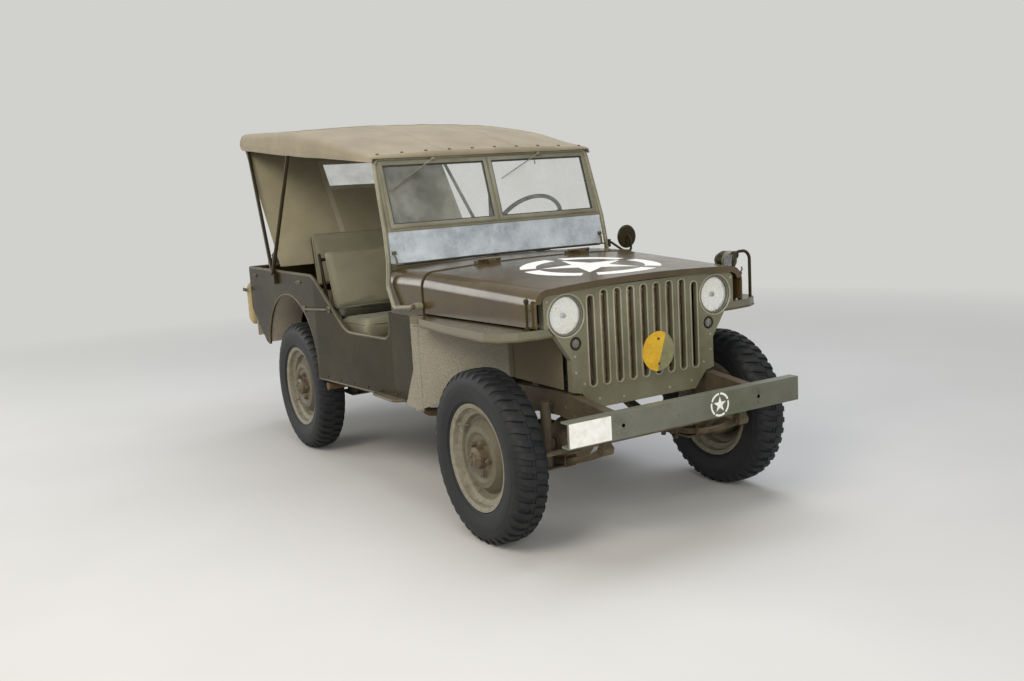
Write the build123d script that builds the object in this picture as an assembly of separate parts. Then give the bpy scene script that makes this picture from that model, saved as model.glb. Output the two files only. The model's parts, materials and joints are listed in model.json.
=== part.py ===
from build123d import *
import os

# An open army four-by-four car of the 1940s with its canvas top up.
# Millimetres. X forward, Y to the car's left, Z up; the origin is on the
# floor under the middle of the car. Places along the car are given as
# distances ahead of the front axle, so those behind it are negative.

# Driving sizes
wheel_base = 2032.0
front_overhang = 524.0          # front axle to the bumper's face
rear_overhang = 816.0           # rear axle to the back of the spare tyre
wheel_track = 1245.0
tyre_radius = 358.0
tyre_width = 159.0
rim_radius = 222.0

overall_length = front_overhang + wheel_base + rear_overhang
front_axle_x = overall_length / 2 - front_overhang
rear_axle_x = front_axle_x - wheel_base
axle_z = tyre_radius
half_track = wheel_track / 2

# Clearances
seat_gap = 0.3
move_gap = 6.0

# Half width and height of cutting blocks, past everything they cut
wide = 900.0
high = 2400.0

# Tub in plan: place ahead of the front axle, half width outside
tub_plan = [
    (-540.0, 606.0),
    (-880.0, 618.0),
    (-1650.0, 700.0),
    (-2680.0, 718.0),
]
tub_wall = 14.0                 # a wall with its rolled edges
tub_rear = tub_plan[-1][0]
tub_rear_half = tub_plan[-1][1]
tub_rail_z = 1006.0             # top edge of the sides behind the doors
tub_belt_z = 868.0              # top edge of the sides under the cowl
tub_sill_z = 455.0
side_foot = -760.0              # lower front corner of a side
rear_low_z = 573.0              # lower rear corner, cut off at a slant
rear_cut_z = 760.0
rear_cut_x = -2470.0
door_front = -892.0
door_low_z = 735.0
door_foot = -1330.0
door_head = -1660.0
door_curves = (60.0, 170.0, 110.0)  # front foot, rear foot, head
arch_radius = 384.0
arch_x = -2048.0
arch_z = 500.0
wheelhouse_in = 520.0
wheelhouse_skin = 6.0
wheelhouse_top_z = 898.0
wheelhouse_front = -1800.0

# Frame: rail centre line, place ahead of the front axle and height
rail_line = [
    (475.7, 520.0),
    (150.0, 556.0),
    (-180.0, 540.0),
    (-560.0, 462.0),
    (-1560.0, 462.0),
    (-1860.0, 540.0),
    (-2250.0, 540.0),
    (-2640.0, 516.0),
]
rail_out = 371.0
rail_width = 45.0
rail_height = 100.0
rail_in = rail_out - rail_width
# cross members: place, height, radius
cross_members = [
    (430.0, 524.0, 30.0),
    (175.0, 562.0, 28.0),
    (-1110.0, 462.0, 28.0),
    (-1520.0, 462.0, 28.0),
    (-2610.0, 518.0, 34.0),
]

# Floors
floor_thick = 10.0
floor_z = rail_line[3][1] + rail_height / 2 + seat_gap
rear_floor_z = rail_line[5][1] + rail_height / 2 + seat_gap
floor_step = rail_line[4][0]
firewall_x = -566.0

# Cowl and hood share one shape across the car
cowl_rear = -862.0
cowl_front = -556.0
cowl_edge_z = 1072.0            # where the cowl's side turns into its top
cowl_narrow = 3.0               # how far inside the tub's line the cowl stands
hood_edge_z = cowl_edge_z - 4.0
hood_narrow = 10.0
panel_crown = 16.0
panel_corner = 64.0
cowl_skin = 8.0
hood_skin = 7.0
hood_foot_z = 888.0
hood_lip = 26.0
hood_back = cowl_front + move_gap
dash_low_z = 948.0
dash_thick = 10.0
hinge_x = cowl_front + move_gap / 2
hinge_z = cowl_edge_z + 26.0
hinge_y = 250.0
hinge_radius = 7.0
hinge_half = 20.0               # half length of the hood's own barrel

# Grille
grille_x = 250.0                # its face, ahead of the front axle
grille_wall = 5.0
grille_depth = 34.0             # back to the edge of its turned-in flange
slot_collar = 3.0               # wall of the collar pressed inwards round a slot
slot_collar_depth = 20.0
grille_half_top = 486.0
grille_half_low = 366.0
grille_knee_z = 741.0
grille_foot_z = 612.0           # where it narrows between the rails
grille_half_foot = 262.0
grille_low_z = 534.0
slot_count = 9
slot_pitch = 66.6
slot_width = 30.0
slot_low_z = 625.0
slot_top_z = 1004.0
slot_top_outer_z = 988.0
lamp_y = 383.0
lamp_z = 921.0
lamp_opening = 82.0
lamp_rim = 8.0                  # room round the lamp behind the grille's face
marker_y = 343.0
marker_z = 806.0
marker_opening = 27.0

# The hood's nose: place, half width, edge height
hood_nose = (grille_x + 12.0, grille_half_top + 44.0, 1034.0)

# Fender plan: place ahead of the front axle, half width
fender_plan = [
    (-532.0, 606.0),
    (-480.0, 664.0),
    (-185.0, 686.0),
    (130.0, 688.0),
    (196.0, 662.0),
    (232.0, 600.0),
    (246.0, 500.0),
    (246.0, 440.0),
    (210.0, 440.0),
    (210.0, 382.0),
    (-150.0, 382.0),
    (-532.0, 560.0),
]
fender_top_z = 880.0
fender_skin = 7.0
fender_lip = 35.0
fender_corner = 40.0
fender_room = 3.0               # aprons end so far under the fender's top
apron_y = 376.0
apron_skin = 5.0
apron_seam = (-200.0, apron_y)  # where the slanted apron meets the straight one
apron_outer = (-612.0, 640.0)
apron_front = 200.0
apron_low_z = 620.0
slant_low_z = 446.0             # lowest edge of the slanted apron
skirt_y = 620.0
skirt_rear = -614.0
skirt_front = -576.0
skirt_knee_z = 690.0

# Bumper
bumper_half = 582.0
bumper_top_z = 575.0
bumper_height = 100.0
bumper_depth = 48.0
bumper_wall = 7.0

# Axles, knuckles and springs
axle_tube = 36.0
diff_y = -215.0
diff_bowl = 101.0
nose_radius = 48.0
nose_length = 190.0
kingpin_y = 540.0
ball_radius = 62.0
cup_inner = ball_radius + 0.5
cup_outer = 77.0
cup_cover = 30.0                # how far the cup reaches inward past the kingpin
cap_start = 6.0                  # the kingpin's caps start in the cup's wall
cap_height = 13.0
cap_radius = 27.0
arm_radius = 12.0
boss_radius = 18.0
boss_half = 14.0
plate_radius = 124.0
plate_y = half_track - 54.0
plate_thick = 4.0
spindle_radius = 20.0
arm_forward = 190.0
arm_inward = 40.0
arm_z = 395.0
spring_y = rail_out - rail_width / 2
spring_width = 44.0
spring_thick = 26.0
spring_low_z = axle_z - axle_tube - 34.0
# spring eyes: axle, fore and aft of it, their heights
spring_table = [
    (front_axle_x, 425.0, -430.0, 400.0, 400.0),
    (rear_axle_x, 420.0, -430.0, 380.0, 425.0),
]
spring_eye = 22.0
clamp_reach = 50.0
clamp_half = 30.0
clamp_foot = 8.0
shock_y = 402.0
shock_radius = 22.0
shock_x = 95.0
shock_top_z = 546.0


def at(distance):
    """X of a place so far ahead of the front axle."""
    return front_axle_x + distance


def block(x0, x1, y0, y1, z0, z1):
    """Box between two corners."""
    size = Box(abs(x1 - x0), abs(y1 - y0), abs(z1 - z0))
    return Pos((x0 + x1) / 2, (y0 + y1) / 2, (z0 + z1) / 2) * size


def side_plate(points, y0, y1):
    """Outline of (x, z) points, thick from y0 to y1."""
    face = make_face(Polyline(*[(x, y0, z) for x, z in points], close=True))
    return extrude(face, amount=abs(y1 - y0), dir=(0, 1 if y1 > y0 else -1, 0))


def front_plate(points, x0, x1):
    """Outline of (y, z) points, thick from x0 to x1."""
    face = make_face(Polyline(*[(x0, y, z) for y, z in points], close=True))
    return extrude(face, amount=abs(x1 - x0), dir=(1 if x1 > x0 else -1, 0, 0))


def flat_plate(points, z0, z1):
    """Outline of (x, y) points, thick from z0 to z1."""
    face = make_face(Polyline(*[(x, y, z0) for x, y in points], close=True))
    return extrude(face, amount=abs(z1 - z0), dir=(0, 0, 1 if z1 > z0 else -1))


def rod(start, end, radius):
    """Round bar between two points."""
    start, end = Vector(*start), Vector(*end)
    along = end - start
    return Solid.make_cylinder(radius, along.length, Plane(origin=start, z_dir=along))


def pipe(points, radius, bend):
    """Round bar along straight runs with bends."""
    path = FilletPolyline(*points, radius=bend)
    return sweep(Plane(origin=path @ 0, z_dir=path % 0) * Circle(radius), path=path)


def turned(points):
    """Solid turned about the Y axis from (y, radius) points."""
    face = make_face(Polyline(*[(r, y, 0) for y, r in points], close=True))
    return revolve(face, axis=Axis.Y, revolution_arc=360)


def other_side(solid):
    """Its mirror image across the middle of the car."""
    return mirror(solid, about=Plane.XZ)


def both_sides(solids):
    """Solids and their mirror images."""
    return list(solids) + [other_side(solid) for solid in solids]


def fused(parts):
    """One shape from a list."""
    shape = parts[0]
    for part in parts[1:]:
        shape = shape + part
    return shape


def tub_half(place):
    """Outside half width of the tub at a place along it."""
    for (x0, h0), (x1, h1) in zip(tub_plan, tub_plan[1:]):
        if place >= x1:
            return h0 + (h1 - h0) * (x0 - place) / (x0 - x1)
    return tub_rear_half


nodes = {}


def keep(name, *solids):
    """Hold a node's solids until they are written."""
    nodes[name] = solids[0] if len(solids) == 1 else Compound(children=list(solids))


# Frame
def make_rail():
    """Left side rail, bent over both axles."""
    half = rail_height / 2
    upper = [(at(x), z + half) for x, z in rail_line]
    lower = [(at(x), z - half) for x, z in reversed(rail_line)]
    return side_plate(upper + lower, rail_in, rail_out)


def make_frame():
    """Two rails and their cross members."""
    rail = make_rail()
    crosses = [rod((at(x), -rail_in - 2, z), (at(x), rail_in + 2, z), r) for x, z, r in cross_members]
    return fused([rail, other_side(rail)] + crosses)


def make_front_bumper():
    """Pressed channel with a flat face, open to the back, on two brackets."""
    face = at(front_overhang)
    z0, z1 = bumper_top_z - bumper_height, bumper_top_z
    outer = block(face - bumper_depth, face, -bumper_half, bumper_half, z0, z1)
    hollow = block(face - bumper_depth - 1, face - bumper_wall, -bumper_half - 1, bumper_half + 1,
                   z0 + bumper_wall, z1 - bumper_wall)
    return outer - hollow


# Axles and what they carry
def make_axle(x, half_length, nose_way):
    """Tube, the bowl of the final drive and its pinion nose."""
    tube = rod((x, -half_length, axle_z), (x, half_length, axle_z), axle_tube)
    bowl = Pos(x, diff_y, axle_z) * Sphere(diff_bowl)
    nose = rod((x, diff_y, axle_z), (x + nose_way * nose_length, diff_y, axle_z), nose_radius)
    return fused([tube, bowl, nose])


def make_front_axle():
    """Axle with the balls that the knuckles turn on."""
    axle = make_axle(at(0), kingpin_y, -1)
    balls = [Pos(at(0), side * kingpin_y, axle_z) * Sphere(ball_radius) for side in (1, -1)]
    return fused([axle] + balls)


def make_rear_axle():
    """Axle with brake plates and wheel spindles."""
    axle = make_axle(rear_axle_x, plate_y, 1)
    ends = []
    for side in (1, -1):
        inner, outer = side * plate_y, side * (plate_y + plate_thick)
        ends.append(rod((rear_axle_x, inner, axle_z), (rear_axle_x, outer, axle_z), plate_radius))
        ends.append(rod((rear_axle_x, outer, axle_z), (rear_axle_x, side * (half_track + 16), axle_z), spindle_radius))
    return fused([axle] + ends)


def make_knuckle():
    """Left knuckle: cup round the axle's ball, brake plate, spindle and steering arm."""
    x = at(0)
    centre = Pos(x, kingpin_y, axle_z)
    shell = centre * (Sphere(cup_outer) - Sphere(cup_inner))
    reach = cup_outer + 5
    cut = block(x - reach, x + reach, kingpin_y - reach, kingpin_y - cup_cover, axle_z - reach, axle_z + reach)
    plate = rod((x, plate_y, axle_z), (x, plate_y + plate_thick, axle_z), plate_radius)
    plate = plate - centre * Sphere(cup_inner + 2)
    spindle = rod((x, kingpin_y + cup_inner + 4, axle_z), (x, half_track + 16, axle_z), spindle_radius)
    eye = (x + arm_forward, kingpin_y - arm_inward, arm_z)
    arm = rod((x + 55, kingpin_y - 12, axle_z + 42), eye, arm_radius)
    boss = rod((eye[0], eye[1], arm_z - boss_half), (eye[0], eye[1], arm_z + boss_half), boss_radius)
    caps = []
    for side in (1, -1):
        foot, top = axle_z + side * (cup_inner + cap_start), axle_z + side * (cup_outer + cap_height)
        caps.append(rod((x, kingpin_y, foot), (x, kingpin_y, top), cap_radius))
    return fused([shell - cut, plate, spindle, arm, boss] + caps)


def make_suspension():
    """Four packs of leaves with clamps and eyes, and four dampers."""
    parts = []
    for x, fore, aft, fore_z, aft_z in spring_table:
        ends = ((x + fore, fore_z), (x + aft, aft_z))
        low = ThreePointArc((ends[0][0], 0, fore_z), (x, 0, spring_low_z), (ends[1][0], 0, aft_z))
        top = ThreePointArc((ends[1][0], 0, aft_z + spring_thick), (x, 0, spring_low_z + spring_thick),
                            (ends[0][0], 0, fore_z + spring_thick))
        face = make_face([low, Line(low @ 1, top @ 0), top, Line(top @ 1, low @ 0)])
        pack = Pos(0, spring_y - spring_width / 2, 0) * extrude(face, amount=spring_width, dir=(0, 1, 0))
        inner, low_z = spring_y - clamp_half, spring_low_z - clamp_foot
        clamp = block(x - clamp_reach, x + clamp_reach, inner, spring_y + clamp_half, low_z, axle_z - axle_tube - seat_gap)
        foot = block(x - clamp_reach, x + shock_x + clamp_half, inner, shock_y + shock_radius, low_z, spring_low_z)
        hangers = []
        for eye_x, eye_z in ends:
            eye_z += spring_thick / 2
            hangers.append(rod((eye_x, spring_y - spring_width / 2 - 2, eye_z), (eye_x, spring_y + spring_width / 2 + 2, eye_z), spring_eye))
            rail_z = min(rail_under(eye_x + shift - front_axle_x) for shift in (-16, 16))
            hangers.append(block(eye_x - 16, eye_x + 16, spring_y - 18, spring_y + 18, eye_z, rail_z - seat_gap))
        parts.append(fused([pack, clamp, foot] + hangers))
        shock_at = x + shock_x
        damper = rod((shock_at, shock_y, spring_low_z + seat_gap), (shock_at, shock_y, shock_top_z + 14), shock_radius)
        pin = rod((shock_at, shock_y, shock_top_z), (shock_at, rail_out + seat_gap, shock_top_z), 8.0)
        parts.append(fused([damper, pin]))
    return both_sides(parts)


def rail_under(place):
    """Height of the rail's underside at a place along it."""
    for (x0, z0), (x1, z1) in zip(rail_line, rail_line[1:]):
        if place >= x1:
            return z0 + (z1 - z0) * (x0 - place) / (x0 - x1) - rail_height / 2
    return rail_line[-1][1] - rail_height / 2


# Wheels
# section of the rim and disc: distance out from the wheel's middle, radius
rim_outer_face = [(72, 0), (72, 30), (64, 43), (36, 47), (36, 90), (45, 104), (42, 126), (20, 146), (8, 157), (8, 171)]
rim_outer_wall = [(28, 176), (36, 198), (56, 203), (60, 214), (62, rim_radius), (57, rim_radius), (57, 209)]
rim_outer_seat = [(34, 206), (24, 182)]
rim_inner_wall = [(-36, 199), (-28, 176), (2, 171), (2, 160), (12, 142), (32, 126), (34, 106), (26, 92), (26, 0)]
drum_radius = 128.0
drum_wall = 8.0
drum_reach = -48.0
hub_radius = 42.0


def make_rim(with_drum):
    """Pressed wheel: outward is +Y, its middle is at the origin."""
    outer = rim_outer_wall + rim_outer_seat
    inner = [(-y, r) for y, r in reversed(rim_outer_seat)] + [(-57, 209), (-57, rim_radius), (-62, rim_radius), (-60, 213), (-56, 203)]
    rim = turned(rim_outer_face + outer + inner + rim_inner_wall)
    if not with_drum:
        return rim
    drum = turned([(drum_reach, drum_radius), (25, drum_radius), (27, 88), (27, 0), (18, 0), (18, drum_radius - drum_wall),
                   (drum_reach, drum_radius - drum_wall)])
    hub = turned([(0, spindle_radius + seat_gap), (0, hub_radius), (20, hub_radius), (20, spindle_radius + seat_gap)])
    return fused([rim, drum, hub])


# tyre section: distance out from the middle, radius
tyre_section = [(56.5, 209.5), (56.5, 224), (68, 238), (tyre_width / 2, 282), (78, 312), (66, 341), (50, 354), (0, tyre_radius)]


def make_tyre():
    """Plain tyre out to the tips of its bars."""
    return turned(tyre_section + [(-y, r) for y, r in reversed(tyre_section[:-1])])


# wheel name, axle x, side
wheel_table = [
    ("front_left", at(0), 1),
    ("front_right", at(0), -1),
    ("rear_left", rear_axle_x, 1),
    ("rear_right", rear_axle_x, -1),
]


def place_wheel(solid, x, side):
    """Set a wheel's solid on its axle, outward to its side."""
    return Pos(x, side * half_track, axle_z) * (solid if side > 0 else other_side(solid))


# Body
def tub_band(outer_in, inner_in, z0, z1):
    """Band along the left side between two distances inside the tub's outline."""
    outer = [(at(x), half - outer_in) for x, half in tub_plan]
    inner = [(at(x), half - inner_in) for x, half in reversed(tub_plan)]
    return flat_plate(outer + inner, z0, z1)


def make_body_side():
    """Left side with its door opening and wheel arch."""
    band = tub_band(0, tub_wall, tub_sill_z - 20, tub_rail_z + 20)
    outline = [(at(x), z) for x, z in (
        (-575.0, tub_belt_z),
        (-620.0, 790.0),
        (-622.0, 690.0),
        (side_foot, tub_sill_z),
        (arch_x, tub_sill_z),
        (rear_cut_x, rear_low_z),
        (tub_rear, rear_cut_z),
        (tub_rear, tub_rail_z),
        (door_head, tub_rail_z),
        (door_foot, door_low_z),
        (door_front, door_low_z),
        (door_front, tub_belt_z),
    )]
    shape = band & side_plate(outline, 400, 800)
    foot_round, rear_round, head_round = door_curves
    shape = shape - rod((at(arch_x), 500, arch_z), (at(arch_x), 800, arch_z), arch_radius)
    rounds = []
    for edge in shape.edges().filter_by(Axis.Y, tolerance=8):
        centre = edge.center()
        if abs(centre.Z - door_low_z) < 2 and abs(centre.X - at(door_front)) < 4:
            rounds.append((edge, foot_round))
        elif abs(centre.Z - door_low_z) < 2 and abs(centre.X - at(door_foot)) < 4:
            rounds.append((edge, rear_round))
        elif abs(centre.Z - tub_rail_z) < 2 and abs(centre.X - at(door_head)) < 4:
            rounds.append((edge, head_round))
    for edge, radius in rounds:
        shape = fillet(shape.edges().sort_by_distance(edge.center())[0], radius)
    return shape


def make_rear_panel():
    """Panel between the sides with its lower corners cut, and the carrier of the spare wheel."""
    half = tub_rear_half - tub_wall - 1.5
    outline = [(half, tub_rail_z), (half, rear_cut_z), (560.0, rear_floor_z + floor_thick + seat_gap)]
    panel = front_plate(outline + [(-y, z) for y, z in reversed(outline)], at(tub_rear), at(tub_rear) + tub_wall)
    carrier = rod((at(tub_rear) + 1, spare_y, spare_z), (at(spare_disc) + seat_gap, spare_y, spare_z), 58.0)
    arms = [block(at(tub_rear) - 26, at(tub_rear) + 1, spare_y - 150, spare_y + 150, spare_z - 24, spare_z + 24)]
    return fused([panel, carrier] + arms)


def make_body_floor():
    """Floors, step, wheelhouses and the slanted plates under their backs."""
    top = floor_z + floor_thick
    front = [(at(x), y) for x, y in (
        (firewall_x - seat_gap, tub_half(firewall_x) - tub_wall - 1.0),
        (tub_plan[1][0], tub_plan[1][1] - tub_wall - 1.0),
        (floor_step, tub_half(floor_step) - tub_wall - 1.0),
    )]
    floor = flat_plate(front + [(x, -y) for x, y in reversed(front)], floor_z, top)
    riser = block(at(floor_step), at(floor_step) + floor_thick, -wheelhouse_in, wheelhouse_in, floor_z, rear_floor_z + floor_thick)
    rear_end = at(tub_rear) + tub_wall + seat_gap
    rear = block(at(floor_step), rear_end, -wheelhouse_in, wheelhouse_in, rear_floor_z, rear_floor_z + floor_thick)
    lugs = []
    for y in (seat_sides[0] - 14, seat_sides[1] + 14):
        lug = block(at(seat_front) - 16, at(seat_front) + 16, -y - 3, -y + 3, top - 1, passenger_pivot_z + 16)
        lugs.append(lug - rod((at(seat_front), -y - 5, passenger_pivot_z), (at(seat_front), -y + 5, passenger_pivot_z), seat_tube + 0.8))
    return fused([floor, riser, rear] + lugs + both_sides([make_wheelhouse(rear_end)]))


def make_wheelhouse(rear_end):
    """Left wheelhouse: a box with the arch's lining."""
    skin = wheelhouse_skin
    band = tub_band(tub_wall + 1.0, 800, tub_sill_z, wheelhouse_top_z)
    zone = block(at(wheelhouse_front), rear_end, wheelhouse_in - skin, 800, rear_floor_z, wheelhouse_top_z)
    inner = block(at(wheelhouse_front) - skin, rear_end + skin, wheelhouse_in, 800, rear_floor_z - 1, wheelhouse_top_z - skin)
    arch = [rod((at(arch_x), wheelhouse_in - skin, arch_z), (at(arch_x), 800, arch_z), r) for r in (wheelhouse_top_z - arch_z, wheelhouse_top_z - arch_z - skin)]
    box = (zone - inner) & band
    lining = (arch[0] - arch[1]) & band & block(at(arch_x), at(arch_x + 410), 0, 800, floor_z + 4, wheelhouse_top_z)
    behind = (arch[0] - arch[1]) & band & block(at(arch_x), rear_end, 0, 800, rear_low_z, wheelhouse_top_z)
    front = block(at(floor_step), at(floor_step) + floor_thick, wheelhouse_in - skin, 800, floor_z, rear_floor_z + floor_thick) & band
    deck = block(at(floor_step), at(arch_x + 385), wheelhouse_in - skin, 800, rear_floor_z, rear_floor_z + floor_thick) & band
    slant = side_plate([(at(rear_cut_x) + 60, rear_low_z), (at(rear_cut_x), rear_low_z), (at(tub_rear) + tub_wall + 1, rear_cut_z - 10),
                        (at(tub_rear) + tub_wall + 1, rear_cut_z), (at(rear_cut_x), rear_low_z + 10), (at(rear_cut_x) + 60, rear_low_z + 10)],
                       wheelhouse_in - skin, 800) & band
    shape = fused([box, lining, behind, front, deck, slant])
    return shape - arch[1]


# Cowl and hood
def panel_section(place, half, edge_z, foot_z, inset):
    """Face across the car: upright sides, round corners and a slightly crowned top."""
    x, w, top = at(place), half - inset, edge_z - inset
    r = panel_corner - inset
    lean = r * (1 - 0.7071)
    side = Line((x, -w, foot_z), (x, -w, top - r))
    corner = ThreePointArc((x, -w, top - r), (x, -w + lean, top - lean), (x, -w + r, top))
    crown = ThreePointArc((x, -w + r, top), (x, 0, top + panel_crown), (x, w - r, top))
    corner_left = ThreePointArc((x, w - r, top), (x, w - lean, top - lean), (x, w, top - r))
    side_left = Line((x, w, top - r), (x, w, foot_z))
    foot = Line((x, w, foot_z), (x, -w, foot_z))
    return make_face([side, corner, crown, corner_left, side_left, foot])


def panel_shell(front, back, foot_z, skin):
    """Solid between two sections and the hollow inside it."""
    outer = loft([panel_section(*front, foot_z, 0), panel_section(*back, foot_z, 0)])
    reach = 2.0
    grow = [(place + step, half, z) for (place, half, z), step in ((front, reach), (back, -reach))]
    hollow = loft([panel_section(*grow[0], foot_z - 5, skin), panel_section(*grow[1], foot_z - 5, skin)])
    return outer, hollow


def cowl_shape(place):
    """Cowl section's place, half width and edge height."""
    return (place, tub_half(place) - cowl_narrow, cowl_edge_z)


def make_cowl():
    """Cowl with the firewall ahead of it and the dash under its rear edge."""
    front, back = cowl_shape(cowl_front), cowl_shape(cowl_rear)
    outer, hollow = panel_shell(front, back, tub_belt_z + seat_gap, cowl_skin)
    shell = outer - hollow
    firewall = outer & block(at(cowl_front), at(firewall_x), -wide, wide, tub_belt_z, high)
    foot_half = tub_half(firewall_x) - tub_wall - 1.0
    firewall_foot = block(at(cowl_front), at(firewall_x), -foot_half, foot_half, floor_z + 2, tub_belt_z + 5)
    dash = outer & block(at(cowl_rear), at(cowl_rear) + dash_thick, -wide, wide, dash_low_z, high)
    spans = ((-3 * hinge_half, -hinge_half - 0.4), (hinge_half + 0.4, 3 * hinge_half))
    leaves = [hinge_leaf(hinge_x - 34, hinge_y + inner, hinge_y + outer_end) for inner, outer_end in spans]
    shape = fused([shell, firewall, firewall_foot, dash] + both_sides(leaves))
    passage = rod(column_point(column_start - 60), column_point(column_end), column_radius + seat_gap)
    return shape - passage


def make_hood():
    """Hood, open below, with its front edge turned down."""
    back = (hood_back, tub_half(hood_back) - hood_narrow, hood_edge_z)
    outer, hollow = panel_shell(hood_nose, back, hood_foot_z, hood_skin)
    shell = outer - hollow
    lip = outer - loft([panel_section(*hood_nose, hood_foot_z - 5, hood_lip), panel_section(*back, hood_foot_z - 5, hood_lip)])
    nose = at(hood_nose[0])
    lip = lip & block(nose, nose - 5, -wide, wide, hood_nose[2] - 54, high)
    leaf = hinge_leaf(hinge_x + 40, hinge_y - hinge_half, hinge_y + hinge_half)
    return fused([shell, lip] + both_sides([leaf]))


def hinge_leaf(x_end, y_low, y_high):
    """Barrel on the hood's hinge line with a leaf that runs to x_end."""
    barrel = rod((at(hinge_x), y_low, hinge_z), (at(hinge_x), y_high, hinge_z), hinge_radius)
    ends = sorted((at(hinge_x), at(x_end)))
    return barrel + block(ends[0], ends[1], y_low, y_high, hinge_z - 22, hinge_z - 2)


# Fenders, grille, lamps
def make_fender():
    """Left fender with its rolled lip and the aprons below it."""
    plan = flat_plate([(at(x), y) for x, y in fender_plan], fender_top_z - fender_lip, fender_top_z)
    corners = [edge for edge in plan.edges().filter_by(Axis.Z)
               if edge.center().Y > fender_plan[-1][1] and edge.center().X > at(fender_plan[1][0] - 20)]
    plan = fillet(corners, fender_corner)
    base = plan.faces().sort_by(Axis.Z)[0]
    inner = offset(base, amount=-fender_skin, kind=Kind.INTERSECTION)
    pan = plan - extrude(inner, amount=fender_lip - fender_skin, dir=(0, 0, 1)) - extrude(inner, amount=5, dir=(0, 0, -1))
    seam, outer, top = apron_seam, apron_outer, fender_top_z - fender_room
    slant = [outer, seam, (seam[0] + 3, seam[1] + 4), (outer[0] + 3, outer[1] + 4)]
    rear = flat_plate([(at(x), y) for x, y in slant], slant_low_z - 10, top)
    below = [(outer[0] - 90, slant_low_z - 50), (outer[0] - 90, slant_low_z), (outer[0] + 12, slant_low_z), (seam[0] + 10, apron_low_z), (seam[0] + 10, slant_low_z - 50)]
    rear = rear - side_plate([(at(x), z) for x, z in below], seam[1] - 60, outer[1] + 60)
    front = block(at(seam[0]), at(apron_front), apron_y, apron_y + apron_skin, apron_low_z, top)
    # the skirt that follows the slanted front edge of the side
    edge = [(skirt_rear, top), (skirt_rear, skirt_knee_z), (side_foot + 8, tub_sill_z - 9), (skirt_front, tub_sill_z - 9), (skirt_front, top)]
    skirt = side_plate([(at(x), z) for x, z in edge], skirt_y, skirt_y + apron_skin)
    shape = fused([pan, rear, front, skirt])
    return shape - rod((at(grille_x - 160), lamp_y, lamp_z), (at(grille_x + 10), lamp_y, lamp_z), lamp_opening + lamp_rim + 2)


def slot_top(index):
    """Height of a slot's top: the outermost are shorter."""
    return slot_top_outer_z if abs(index) == slot_count // 2 else slot_top_z


def slot_bar(index, grow, x0, x1):
    """Round-ended bar the size of a slot, grown all round."""
    y, half = index * slot_pitch, slot_width / 2
    low, top = slot_low_z + half, slot_top(index) - half
    reach = half + grow
    return fused([block(x0, x1, y - reach, y + reach, low, top)] + [rod((x0, y, z), (x1, y, z), reach) for z in (low, top)])


def make_grille():
    """Pressed grille with nine slots and openings for four lamps."""
    top, lap = hood_nose[2] - 15, fender_top_z + seat_gap
    outline = [
        (grille_half_top - 30, top),
        (grille_half_top, top - 27),
        (grille_half_top, lap),
        (grille_half_top - 50, lap),
        (grille_half_top - 50, fender_top_z - fender_lip + 1),
        (grille_half_low, grille_knee_z),
        (grille_half_low, grille_foot_z),
        (rail_in - 4, grille_foot_z - 10),
        (grille_half_foot, grille_low_z),
    ]
    outline = outline + [(-y, z) for y, z in reversed(outline)]
    face = at(grille_x)
    back, past = face - grille_depth, face + grille_wall
    plate = front_plate(outline, back, face)
    inner_face = offset(plate.faces().sort_by(Axis.X)[0], amount=-grille_wall, kind=Kind.INTERSECTION)
    plate = plate - extrude(inner_face, amount=grille_depth - grille_wall, dir=(1, 0, 0)) - extrude(inner_face, amount=2.0, dir=(-1, 0, 0))
    indices = range(-(slot_count // 2), slot_count // 2 + 1)
    collars = [slot_bar(index, slot_collar, face - slot_collar_depth, face - grille_wall + 1) for index in indices]
    plate = fused([plate] + collars)
    cuts = [slot_bar(index, 0.0, back, past) for index in indices]
    for side in (1, -1):
        lamp, marker = side * lamp_y, side * marker_y
        cuts.append(rod((back, lamp, lamp_z), (past, lamp, lamp_z), lamp_opening))
        cuts.append(rod((back - 5, lamp, lamp_z), (face - grille_wall, lamp, lamp_z), lamp_opening + lamp_rim))
        cuts.append(rod((back, marker, marker_z), (past, marker, marker_z), marker_opening))
    for cut in cuts:
        plate = plate - cut
    return plate


# lamp sections: place along the lamp's axis, forward positive, and radius
head_section = [(0, 74), (0, 86), (-16, 86), (-26, 78), (-70, 60), (-96, 30), (-100, 0), (-16, 0), (-16, 74)]
marker_section = [(4, 19), (4, 24), (-4, 25), (-4, 36), (-10, 36), (-10, 25), (-40, 20), (-44, 0), (-6, 0), (-6, 19)]
blackout_section = [(0, 35), (0, 42), (-36, 42), (-64, 30), (-76, 0), (-6, 0), (-6, 35)]
head_glass = [(-3, 0), (-3, 73.6), (-9, 73.6), (-9, 0)]
marker_glass = [(0, 0), (0, 18.6), (-5, 18.6), (-5, 0)]
blackout_glass = [(-1, 0), (-1, 34.6), (-5, 34.6), (-5, 0)]
marker_out = 4.0                # how far a marker lamp stands ahead of the head lamps
blackout_place = (110.0, 600.0, 1040.0)
stalk_back = 35.0
stalk_radius = 13.0
guard_x = 186.0
guard_half = 48.0
guard_top_z = 1084.0
guard_radius = 7.0
tail_lamp_y = 566.0
tail_lamp_z = 642.0
tail_lamp_size = 26.0           # radius and depth


def lamp_places(head, marker, blackout):
    """Turned sections set on the head lamps, marker lamps and blackout lamp."""
    back = at(grille_x) - grille_wall - seat_gap
    forward = Rot(0, 0, -90)
    pair = [
        Pos(back, lamp_y, lamp_z) * forward * turned(head),
        Pos(back + marker_out, marker_y, marker_z) * forward * turned(marker),
    ]
    x, y, z = blackout_place
    return both_sides(pair) + [Pos(at(x), y, z) * forward * turned(blackout)]


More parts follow.
